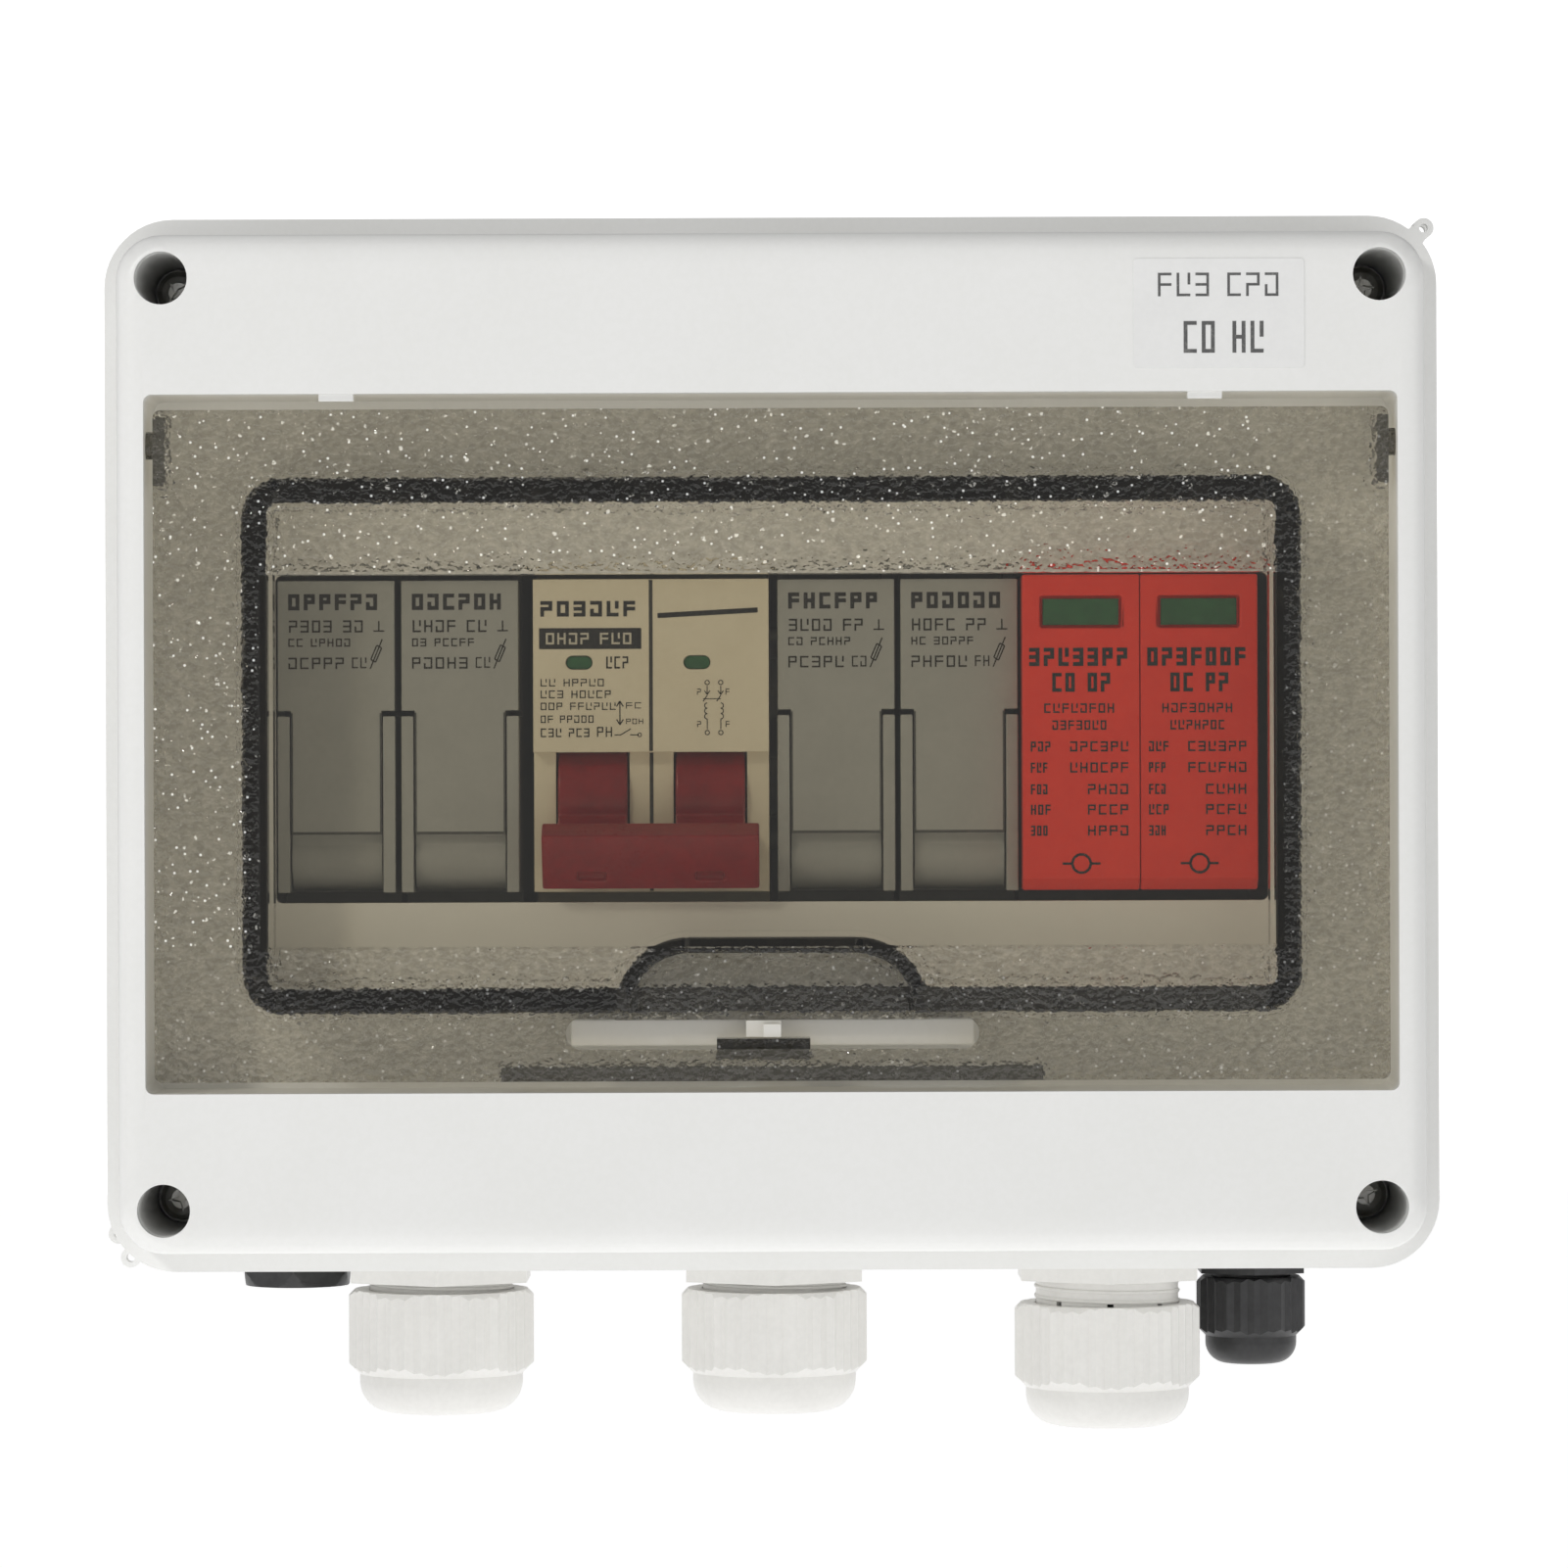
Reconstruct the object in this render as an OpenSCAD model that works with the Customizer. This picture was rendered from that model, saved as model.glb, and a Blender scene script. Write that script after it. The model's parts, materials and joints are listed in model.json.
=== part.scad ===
// DC combiner box: a wall enclosure with a hinged window over four fuse holders, a two-pole
// breaker and a two-cartridge surge arrester, with three cable glands, an earth gland and a plug.
// The origin is the middle of the flat back, on the wall. +Z is up and the front looks to -Y.
// A "depth" is a distance from the wall towards the front. All sizes are in millimetres.

/* [Enclosure] */
// Width over the flange
box_w = 200; // [196:1:260]
// Height over the flange
box_h = 158; // [154:1:220]
// Depth from the wall to the front face
box_d = 95; // [95:1:120]
// Depth of the parting face between base and cover
base_d = 57; // [50:1:66]
// Wall of the base and the cover
wall = 2.5; // [2:0.1:3]
// Corner radius of the flange
corner_r = 10.3; // [8:0.1:14]
// Overhang of the flange beyond the walls
flange = 2.5; // [2:0.1:4]
// Thickness of each flange
flange_t = 3.2; // [2.6:0.1:4]
// Inward lean of the cover's sides over its height
draft = 2.5; // [1:0.1:4]
// Rounding of the cover's front edge
edge_r = 3; // [1.5:0.1:4]

/* [Tray] */
// Rim left beside the tray, each side
tray_side = 9.15; // [8.8:0.05:12]
// Rim left above and below the tray
tray_rim = 28.3; // [27:0.1:32]
// Depth of the tray below the front face
tray_sink = 19; // [17:0.5:20]
// Height of the seal wall round the opening
coaming_h = 9.5; // [8:0.5:9.5]
// Thickness of the seal wall
coaming_t = 1.6; // [1.2:0.1:2.4]

/* [Door] */
// Gap between door and tray, each side
door_gap = 1.2; // [0.8:0.1:1.6]
// Thickness of the window plate
door_t = 2.2; // [1.8:0.1:2.4]
// Distance of the door face behind the front face
door_sink = 1.5; // [1:0.1:2]
// Distance of the hinge axis below the top of the tray
hinge_drop = 7.2; // [7.2:0.1:9]
// Radius of the hinge trunnions
trunnion_r = 2; // [1.6:0.1:2.2]
// Running clearance of the trunnions
trunnion_fit = 0.05; // [0.03:0.01:0.1]
// Width of the black door seal
seal_w = 3.6; // [3:0.1:4]
// Thickness of the black door seal
seal_t = 3.7; // [3:0.1:4]
// Length of the finger slot
slot_w = 60; // [50:1:70]
// Height of the finger slot
slot_h = 4.6; // [4.2:0.1:5]
// Width of the finger pocket above the slot
pocket_w = 45.9; // [40:0.1:48]
// Height of the finger pocket above the slot
pocket_h = 12; // [10:0.5:13]

/* [Device row] */
// Width of one device module
module_w = 17.4; // [14.5:0.1:17.6]
// Height of a device body
device_h = 80; // [78:1:90]
// Height of a device nose
nose_h = 46.2; // [45:0.1:47]
// Height of the rail centre above the box centre
rail_z = 1.2; // [0:0.1:2]
// Depth of the device shoulders
shoulder_d = 57.5; // [54:0.5:60]
// Front depth of the fuse holders
holder_d = 74; // [72:0.5:74]
// Front depth of the breaker
breaker_d = 75.5; // [74.5:0.1:76]
// Front depth of the surge cartridges
surge_d = 78; // [76:0.5:79]

/* [Glands] */
// Pitch of the three cable glands
gland_pitch = 51.5; // [42:0.5:56]
// Depth of the cable glands' axes
gland_d = 30; // [24:1:32]
// Radius of the cable gland thread
gland_r = 11.2; // [9.4:0.1:11.8]
// Radius of the cable hole in a large seal
cable_r = 6.5; // [5:0.1:7]
// Distance of the earth gland and the plug from the side of the flange
small_inset = 25.5; // [25:0.5:27]
// Depth of the earth gland's and the plug's axes
small_d = 19; // [17:1:20]
// Radius of the earth gland's and the plug's thread
small_r = 6.2; // [5.2:0.1:6.4]
// Radius of the cable hole in the small seal
earth_cable_r = 3.2; // [2.5:0.1:3.5]
// How far each of the three caps is unscrewed, from left to right
cap_slack = [0, 0, 2.4]; // [0:0.1:3]

/* [Fixings] */
// Inset of the cover screws from the sides of the flange
screw_inset_x = 11.7; // [11:0.1:13]
// Inset of the cover screws from the top and bottom of the flange
screw_inset_z = 11.4; // [11:0.1:13]
// Radius of the cover screw wells
well_r = 3.85; // [3.5:0.05:4]
// Radius of the cover screw shanks
screw_r = 2; // [1.6:0.1:2.2]
// Distance between the wall holes, left to right
wall_hole_w = 150; // [120:1:160]
// Distance between the wall holes, top to bottom
wall_hole_h = 116; // [100:1:120]
// Radius of the wall holes
wall_hole_r = 2.3; // [2:0.1:3]

/* [Hidden] */
$fn = 48;
hull_fn = 32;
eps = 0.01;
fit = 0.1;

// Colours
white = [0.93, 0.93, 0.92];
smoke = [0.45, 0.43, 0.38, 0.45];
rubber = [0.07, 0.07, 0.07];
steel = [0.68, 0.69, 0.70];
grey = [0.66, 0.67, 0.68];
cream = [0.90, 0.88, 0.80];
lever_red = [0.48, 0.04, 0.06];
surge_red = [0.86, 0.12, 0.07];
flag_green = [0.05, 0.35, 0.15];
copper = [0.80, 0.50, 0.32];
ceramic = [0.88, 0.86, 0.80];
nylon_black = [0.05, 0.05, 0.05];

// Enclosure
tub_w = box_w - 2 * flange;
tub_h = box_h - 2 * flange;
tub_r = 6.5;
bottom_z = -tub_h / 2;
rim_seal_w = 1.8;
rim_seal_t = 1.8;
rim_seal_inset = 1.7;
screw_x = box_w / 2 - screw_inset_x;
screw_z = box_h / 2 - screw_inset_z;
post_r = 4.9;
well_d = base_d + 5;
screw_head_r = 3.4;
screw_head_h = 2.4;
screw_bite = 15;
eye_r = 1.5;
eye_hole_r = 0.65;
eye_t = 2;

// Tray and door
tray_w = box_w - 2 * tray_side;
tray_h = box_h - 2 * tray_rim;
tray_d = box_d - tray_sink;
tray_r = 1.2;
tray_t = 2;
door_w = tray_w - 2 * door_gap;
door_h = tray_h - 3.8;
door_z = -0.3;
door_front = box_d - door_sink;
door_back = door_front - door_t;
hinge_z = tray_h / 2 - hinge_drop;
hinge_d = door_front - 3.5;
trunnion_bite = 2;
ear_t = 1.6;
ear_top = 5;
ear_drop = 6;
ear_back = 4;
slot_rise = 6.9;
slot_z = door_z - door_h / 2 + slot_rise;
tongue_back = door_back - 7;
pocket_r = 10.9;
pocket_lap = 0.4;
pocket_seal_w = 2.2;
pocket_coaming = -1.9;
coaming_d = tray_d + coaming_h;
seal_front = coaming_d + seal_t;
seal_gap = 1.6;
groove_wall = 0.8;
groove_d = seal_front - seal_t + seal_gap;

// Device row
module_gaps = [0.9, 2.2, 0, 1.25, 0.8, 0.45, 0];
function gap_before(i) = i == 0 ? 0 : gap_before(i - 1) + module_gaps[i - 1];
row_w = 8 * module_w + gap_before(7);
row_left = 0.2;
row_right = 1.6;
open_w = row_w + row_left + row_right;
open_z = rail_z - 0.4;
open_h = nose_h + 2.2;
row_x = -open_w / 2 + row_left;
function module_x(i) = row_x + i * module_w + gap_before(i) + module_w / 2;
coaming_side = 1;
coaming_over = 12.6;
seal_out_w = open_w + 2 * coaming_side + coaming_t + seal_w;
seal_out_h = 2 * (open_z + open_h / 2 + coaming_over - door_z) - coaming_t + seal_w;
seal_r = 5.7;
ring_ease = 1.2;
rail_back = 6;
rail_h = 35;
rail_deep = 7.5;
rail_t = 1;
rail_hat = 27;
rail_l = row_w + 5;
rail_screw_r = 1.9;
rail_screw_x = 55;
device_back = rail_back + 4;
device_top = rail_z + device_h / 2;
device_bottom = rail_z - device_h / 2;
nose_top = rail_z + nose_h / 2;
nose_bottom = rail_z - nose_h / 2;
clip_slack = 0.12;
terminal_pocket_h = 11.3;
clip_w = 8;
clip_t = 2.2;
clamp_w = 9.4;
clamp_l = 9.6;
clamp_h = 9.6;
clamp_d = 39.4;
terminal_r = 3;
terminal_head_h = 3.2;
function terminal_z(s) = rail_z + s * (device_h / 2 - 1.4 - clamp_h / 2);

// Fuse holders
cap_z = 5;
bay_side = 1.8;
bay_back = 44;
lobe_r = 4.6;
pivot_z = nose_bottom + 0.3 + lobe_r;
pivot_d = holder_d - 1 - lobe_r;
pin_r = 1.5;
pin_fit = 0.05;
carrier_w = module_w - 2 * bay_side - 0.4;
fuse_r = 5.15;
fuse_l = 38;
fuse_d = 56;
fuse_z = 3.5;

// Breaker
step_z = nose_bottom + 20.7;
lower_d = breaker_d - 2.5;
drum_r = 8.4;
drum_d = breaker_d - 9.5;
drum_z = nose_bottom + 13.9;
drum_fit = 0.3;
arm_w = 10.3;
arm_reach = 17;
off_angle = -30;
axle_r = 1.5;
axle_fit = 0.05;
flag_w = 3.8;
flag_h = 1.9;
flag_z = nose_top - 12.3;

// Surge arrester
surge_seat = 46;
blade_l = 8;
blade_t = 1.2;
blade_w = 6;
blade_z = 13;
window_w = 12;
window_h = 4.7;
window_z = nose_top - 5.1;
window_sink = 1.3;

// Glands
large_af = 27;
large_hex_t = 4.8;
large_neck = 10.5;
large_cap_h = 18.9;
large_dome = 6;
small_af = 16;
small_hex_t = 4.8;
small_neck = 7.5;
small_cap_h = 13.6;
small_dome = 4.1;
washer_t = 1.2;
spigot = 11;
claw_t = 1.9;
cap_gap = 1.4;
nut_t = 5;
thread_fit = 0.2;
function gland_x(k) = (k - 2) * gland_pitch;

// ---------------------------------------------------------------------------------------------
// Drawing helpers
// ---------------------------------------------------------------------------------------------

// An outline drawn in X and Z, made solid between two depths.
module slab(d0, d1) {
    rotate([90, 0, 0])
        translate([0, 0, d0])
            linear_extrude(d1 - d0)
                children();
}

// An outline drawn in depth and Z, made solid between two places along X.
module along_x(x0, x1, points) {
    translate([x0, 0, 0])
        rotate([90, 0, 90])
            linear_extrude(x1 - x0)
                polygon([for (p = points) [-p[0], p[1]]]);
}

// A box between two places along X, two depths and two heights.
module block(x0, x1, d0, d1, z0, z1) {
    translate([x0, -d1, z0])
        cube([x1 - x0, d1 - d0, z1 - z0]);
}

module rod_x(x0, x1, d, z, r) {
    translate([x0, -d, z])
        rotate([0, 90, 0])
            cylinder(h = x1 - x0, r = r);
}

module rod_d(x, z, d0, d1, r) {
    translate([x, -d0, z])
        rotate([90, 0, 0])
            cylinder(h = d1 - d0, r = r);
}

module rounded_rect(w, h, r) {
    square([w - 2 * r, h], center = true);
    square([w, h - 2 * r], center = true);
    for (sx = [-1, 1], sz = [-1, 1])
        translate([sx * (w / 2 - r), sz * (h / 2 - r)])
            circle(r = r);
}

// A rounded frame: its outer size, outer corner radius and width.
module frame_outline(w, h, r, t) {
    difference() {
        rounded_rect(w, h, r);
        rounded_rect(w - 2 * t, h - 2 * t, max(r - t, 0.4));
    }
}

module stadium(w, h) {
    square([w - h, h], center = true);
    for (s = [-1, 1])
        translate([s * (w - h) / 2, 0])
            circle(r = h / 2);
}

module at_corners(x, z) {
    for (sx = [-1, 1], sz = [-1, 1])
        translate([sx * x, 0, sz * z])
            children();
}

// ---------------------------------------------------------------------------------------------
// Enclosure
// ---------------------------------------------------------------------------------------------

// The drafted form of the cover, inset by a wall; the front edge is rolled on the outside only.
module cover_form(inset, d0, d1, roll) {
    w0 = tub_w - 2 * inset;
    h0 = tub_h - 2 * inset;
    w1 = w0 - 2 * draft;
    h1 = h0 - 2 * draft;
    r = max(tub_r - inset, 1.5);
    hull() {
        slab(d0, d0 + 0.1) rounded_rect(w0, h0, r, $fn = hull_fn);
        for (a = [0 : 30 : 90])
            slab(d1 - roll - 0.1, d1 - roll + roll * sin(a))
                rounded_rect(w1 - 2 * roll * (1 - cos(a)), h1 - 2 * roll * (1 - cos(a)), r, $fn = hull_fn);
    }
}

// Small eye for a sealing wire: at a corner of a flange, by its angle and reach round the corner.
module sealing_eye(sx, sz, angle, reach, d0) {
    root = corner_r - rim_seal_inset + fit + eye_r + 0.05;
    translate([sx * (box_w / 2 - corner_r), 0, sz * (box_h / 2 - corner_r)])
        difference() {
            for (a = [root, max(root, reach)])
                rod_d(sx * a * cos(angle), sz * a * sin(angle), d0, d0 + eye_t, eye_r);
            rod_d(sx * reach * cos(angle), sz * reach * sin(angle), d0 - 1, d0 + eye_t + 1, eye_hole_r);
        }
}

module rim_seal_outline(slack) {
    frame_outline(box_w - 2 * (rim_seal_inset - slack), box_h - 2 * (rim_seal_inset - slack),
        corner_r - rim_seal_inset + slack, rim_seal_w + 2 * slack);
}

module gland_holes() {
    for (i = [-1 : 1])
        translate([i * gland_pitch, -gland_d, bottom_z - 1])
            cylinder(h = wall + 2, r = gland_r + fit);
    for (s = [-1, 1])
        translate([s * (box_w / 2 - small_inset), -small_d, bottom_z - 1])
            cylinder(h = wall + 2, r = small_r + fit);
}

module base_shell() {
    back_roll = 2;
    pad_r = 7;
    color(white) {
        difference() {
            union() {
                difference() {
                    union() {
                        hull() {
                            slab(0, 0.1) rounded_rect(tub_w - 2 * back_roll, tub_h - 2 * back_roll,
                                tub_r - back_roll, $fn = hull_fn);
                            slab(back_roll, base_d) rounded_rect(tub_w, tub_h, tub_r, $fn = hull_fn);
                        }
                        slab(base_d - flange_t, base_d) rounded_rect(box_w, box_h, corner_r);
                    }
                    slab(wall, base_d + 1) rounded_rect(tub_w - 2 * wall, tub_h - 2 * wall, tub_r - wall);
                }
                // Posts for the cover screws, bosses of the wall holes and pads under the rail
                at_corners(screw_x, screw_z) rod_d(0, 0, wall / 2, base_d, post_r);
                at_corners(wall_hole_w / 2, wall_hole_h / 2) rod_d(0, 0, wall / 2, 2 * wall, 2.4 * wall_hole_r);
                for (s = [-1, 1]) rod_d(s * rail_screw_x, rail_z, wall / 2, rail_back, pad_r);
            }
            at_corners(screw_x, screw_z) rod_d(0, 0, base_d - screw_bite, base_d + 1, screw_r + fit / 2);
            at_corners(wall_hole_w / 2, wall_hole_h / 2) rod_d(0, 0, -1, 2 * wall + 1, wall_hole_r);
            for (s = [-1, 1]) rod_d(s * rail_screw_x, rail_z, wall, rail_back + 1, rail_screw_r + fit / 2);
            slab(base_d - rim_seal_t, base_d + 1) rim_seal_outline(fit);
            gland_holes();
        }
        sealing_eye(1, 1, 45, 11.9, base_d - flange_t);
        sealing_eye(-1, -1, 28, 10.3, base_d - flange_t);
    }
}

module cover_shell() {
    post_top = box_d - edge_r;
    open_roll = 1;
    stop_x = 63;
    stop_w = 5;
    stop_h = 1;
    hook_w = 5.1;
    hook_x = -1.3;
    color(white) {
        difference() {
            union() {
                difference() {
                    union() {
                        cover_form(0, base_d, box_d, edge_r);
                        slab(base_d, base_d + flange_t) rounded_rect(box_w, box_h, corner_r);
                    }
                    cover_form(wall, base_d - 1, box_d - wall, 0);
                }
                slab(tray_d - tray_t, box_d - wall / 2)
                    rounded_rect(tray_w + 2 * tray_t, tray_h + 2 * tray_t, tray_r + tray_t);
                at_corners(screw_x, screw_z) rod_d(0, 0, base_d, post_top, post_r);
            }
            slab(tray_d, box_d + 1) rounded_rect(tray_w, tray_h, tray_r);
            slab(tray_d - tray_t - 1, tray_d + 1)
                translate([0, open_z]) rounded_rect(open_w, open_h, open_roll);
            at_corners(screw_x, screw_z) {
                rod_d(0, 0, well_d, box_d + 1, well_r);
                rod_d(0, 0, base_d - 1, well_d + 1, screw_r + fit);
            }
            for (s = [-1, 1])
                rod_x(s * (tray_w / 2 + trunnion_bite / 2) - trunnion_bite / 2 - 1,
                    s * (tray_w / 2 + trunnion_bite / 2) + trunnion_bite / 2 + 1,
                    hinge_d, hinge_z, trunnion_r + trunnion_fit);
        }
        // Seal wall round the opening
        slab(tray_d - tray_t / 2, coaming_d)
            seal_path((coaming_t - seal_w) / 2, pocket_coaming, coaming_t);
        // Stops on the top of the tray and the hook that the door's tongue snaps under
        for (s = [-1, 1])
            block(s * stop_x - stop_w / 2, s * stop_x + stop_w / 2, box_d - 3.2, box_d - 1.2,
                tray_h / 2 - stop_h, tray_h / 2 + 1);
        block(hook_x - hook_w / 2, hook_x + hook_w / 2, tray_d - tray_t / 2, tongue_back + 3.5,
            slot_z - 0.7, slot_z + 1.7);
        block(hook_x, hook_x + hook_w / 2, tongue_back + 2.2, tongue_back + 4.7, slot_z - 0.7, slot_z + 1.2);
        sealing_eye(1, 1, 45, 11.9, base_d + flange_t - eye_t);
        sealing_eye(-1, -1, 50, 10.6, base_d + flange_t - eye_t);
    }
}

module rim_seal() {
    color(rubber)
        slab(base_d - rim_seal_t, base_d) rim_seal_outline(0);
}

module cover_screws() {
    color(steel)
        at_corners(screw_x, screw_z) {
            rod_d(0, 0, base_d - screw_bite + 1, well_d + eps, screw_r);
            rod_d(0, 0, well_d, well_d + screw_head_h, screw_head_r);
        }
}

module label() {
    label_w = 24.8;
    label_h = 15.9;
    label_t = 0.12;
    color([0.96, 0.96, 0.95])
        slab(box_d, box_d + label_t)
            translate([box_w / 2 - 22.6 - label_w / 2, box_h / 2 - 9.1 - label_h / 2])
                rounded_rect(label_w, label_h, 0.6);
}

// ---------------------------------------------------------------------------------------------
// Door
// ---------------------------------------------------------------------------------------------

// The finger pocket: an arch that stands on the upper edge of the slot, grown all round.
module pocket_outline(grow) {
    w = pocket_w + 2 * grow;
    foot = slot_z + slot_h / 2 - pocket_lap;
    top = foot + pocket_h + grow;
    r = pocket_r + grow;
    translate([0, foot + (top - foot - r) / 2]) square([w, top - foot - r], center = true);
    translate([0, top - r / 2]) square([w - 2 * r, r], center = true);
    for (s = [-1, 1])
        intersection() {
            translate([s * (w / 2 - r), top - r]) circle(r = r);
            translate([s * w / 4, foot + (top - foot) / 2]) square([w / 2, top - foot], center = true);
        }
}

// The ring inside the door's edge, less the arch of the finger pocket. Its corners tighten
// inwards, so that the ring's straight sides stay clear of the devices.
module ring_area(grow, arch) {
    difference() {
        translate([0, door_z])
            rounded_rect(seal_out_w + 2 * grow, seal_out_h + 2 * grow, max(seal_r + ring_ease * grow, 0.4));
        pocket_outline(arch);
    }
}

// A band that runs round the ring and over the finger pocket.
// grow is its outer edge from the seal's, arch its inner edge from the pocket's, t its width.
module seal_path(grow, arch, t) {
    difference() {
        ring_area(grow, arch);
        ring_area(grow - t, arch + min(t, pocket_seal_w));
    }
}

module door() {
    pocket_floor = 1.3;
    tongue_w = 13.6;
    tongue_h = 3;
    foot_rib_w = 78.9;
    foot_rib_h = 2.1;
    foot_rib_l = 5.5;
    color(smoke)
        difference() {
            union() {
                slab(door_back, door_front) translate([0, door_z]) rounded_rect(door_w, door_h, 1.2);
                // Ears with the hinge trunnions
                for (s = [-1, 1]) {
                    translate([s * (door_w / 2 - ear_t / 2) - ear_t / 2, 0, 0])
                        block(0, ear_t, hinge_d - ear_back, door_back + eps,
                            hinge_z - ear_drop, hinge_z + ear_top - 1);
                    rod_x(s * (door_w / 2 + (door_gap + trunnion_bite) / 2) - (door_gap + trunnion_bite) / 2 - 0.3,
                        s * (door_w / 2 + (door_gap + trunnion_bite) / 2) + (door_gap + trunnion_bite) / 2 + 0.3,
                        hinge_d, hinge_z, trunnion_r);
                }
                // Seat and side walls of the seal groove
                slab(seal_front, door_back + eps) seal_path(0, -pocket_seal_w, seal_w);
                slab(groove_d, door_back + eps) {
                    seal_path(groove_wall + fit, -pocket_seal_w - fit - groove_wall, groove_wall);
                    seal_path(-seal_w - fit, fit, groove_wall);
                }
                // Finger pocket, snap tongue and foot rib
                slab(seal_front, door_back + eps) pocket_outline(0);
                block(-tongue_w / 2 - 1.3, tongue_w / 2 - 1.3, tongue_back, door_back + eps,
                    slot_z - 0.85 - tongue_h, slot_z - 0.85);
                block(-foot_rib_w / 2, foot_rib_w / 2, door_back - foot_rib_l, door_back + eps,
                    door_z - door_h / 2, door_z - door_h / 2 + foot_rib_h);
            }
            slab(seal_front + pocket_floor, door_front + 1) pocket_outline(-pocket_seal_w);
            slab(door_back - 0.5, door_front + 1) translate([0, slot_z]) stadium(slot_w, slot_h);
        }
}

module door_seal() {
    color(rubber)
        slab(coaming_d, seal_front) seal_path(0, -pocket_seal_w, seal_w);
}

// ---------------------------------------------------------------------------------------------
// Rail and device bodies
// ---------------------------------------------------------------------------------------------

module din_rail() {
    rail_front = rail_back + rail_deep;
    color(steel)
        difference() {
            union() {
                block(-rail_l / 2, rail_l / 2, rail_back, rail_back + rail_t,
                    rail_z - rail_hat / 2, rail_z + rail_hat / 2);
                for (s = [-1, 1]) {
                    block(-rail_l / 2, rail_l / 2, rail_back, rail_front,
                        rail_z + s * (rail_hat - rail_t) / 2 - rail_t / 2,
                        rail_z + s * (rail_hat - rail_t) / 2 + rail_t / 2);
                    block(-rail_l / 2, rail_l / 2, rail_front - rail_t, rail_front,
                        rail_z + s * (rail_hat + rail_h - 2 * rail_t) / 4 - (rail_h - rail_hat + 2 * rail_t) / 4,
                        rail_z + s * (rail_hat + rail_h - 2 * rail_t) / 4 + (rail_h - rail_hat + 2 * rail_t) / 4);
                }
            }
            for (x = [-rail_screw_x, rail_screw_x])
                rod_d(x, rail_z, rail_back - 1, rail_back + rail_t + 1, rail_screw_r + fit);
            for (i = [-1 : 1])
                slab(rail_back - 1, rail_back + rail_t + 1)
                    translate([i * 25, rail_z]) stadium(15, 6.2);
        }
}

module rail_screws() {
    head_r = 3.6;
    head_h = 2.2;
    color(steel)
        for (x = [-rail_screw_x, rail_screw_x]) {
            rod_d(x, rail_z, wall + 0.3, rail_back + rail_t + eps, rail_screw_r);
            rod_d(x, rail_z, rail_back + rail_t, rail_back + rail_t + head_h, head_r);
        }
}

// Sliding clips that lock each device under the lower lip of the rail.
module rail_clips() {
    color(nylon_black)
        for (i = [0 : 7])
            difference() {
                block(module_x(i) - clip_w / 2, module_x(i) + clip_w / 2, device_back + 0.15,
                    device_back + 0.15 + clip_t, device_bottom - 4, rail_z - rail_h / 2 + 2.6);
                block(module_x(i) - 2, module_x(i) + 2, device_back - 1, device_back + 4,
                    device_bottom - 2.8, device_bottom - 1.2);
            }
}

// What every module has: the hook over the rail, the slot of its clip, the terminal pockets.
// front holds the [depth, Z] points of its front, from the lower shoulder to the upper one.
module device_body(i, front) {
    x = module_x(i);
    rail_front = rail_back + rail_deep;
    slack = clip_slack;
    room = terminal_pocket_h;
    difference() {
        along_x(x - module_w / 2, x + module_w / 2, concat(
            [[device_back, device_bottom], [shoulder_d, device_bottom]],
            front,
            [[shoulder_d, device_top], [device_back, device_top],
             [device_back, rail_z + rail_h / 2 - 2.8],
             [rail_front - rail_t - slack, rail_z + rail_h / 2 - 2.8],
             [rail_front - rail_t - slack, rail_z + rail_h / 2 + slack],
             [rail_front + slack, rail_z + rail_h / 2 + slack],
             [rail_front + slack, rail_z - rail_h / 2 - slack],
             [device_back, rail_z - rail_h / 2 - slack]]));
        block(x - clip_w / 2 - slack, x + clip_w / 2 + slack, device_back - 1, device_back + clip_t + 0.4,
            device_bottom - 1, rail_z);
        for (s = [-1, 1]) {
            z = rail_z + s * (device_h / 2 - (room - 1) / 2);
            block(x - clamp_w / 2 - 0.3, x + clamp_w / 2 + 0.3, clamp_d - 0.3, clamp_d + clamp_l + 0.3,
                z - (room + 1) / 2, z + (room + 1) / 2);
            rod_d(x, terminal_z(s), clamp_d + 1, shoulder_d + 1, terminal_r);
        }
    }
}

// Rising-cage clamps, one at each end of each module, bored for the wire and for the screw.
module terminal_clamps() {
    color(steel)
        for (i = [0 : 7], s = [-1, 1])
            difference() {
                block(module_x(i) - clamp_w / 2, module_x(i) + clamp_w / 2, clamp_d, clamp_d + clamp_l,
                    terminal_z(s) - clamp_h / 2, terminal_z(s) + clamp_h / 2);
                block(module_x(i) - clamp_w / 2 + 1.2, module_x(i) + clamp_w / 2 - 1.2, clamp_d + 1.2,
                    clamp_d + clamp_l - 2, terminal_z(s) - clamp_h, terminal_z(s) + clamp_h);
                rod_d(module_x(i), terminal_z(s), clamp_d + clamp_l - 3, clamp_d + clamp_l + 1, screw_r + fit / 2);
            }
}

module terminal_screws() {
    head_r = terminal_r - 0.15;
    color(steel)
        for (i = [0 : 7], s = [-1, 1]) {
            rod_d(module_x(i), terminal_z(s), clamp_d + clamp_l - 2.5, clamp_d + clamp_l + 0.5 + eps, screw_r);
            rod_d(module_x(i), terminal_z(s), clamp_d + clamp_l + 0.5,
                clamp_d + clamp_l + 0.5 + terminal_head_h, head_r);
        }
}

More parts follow.
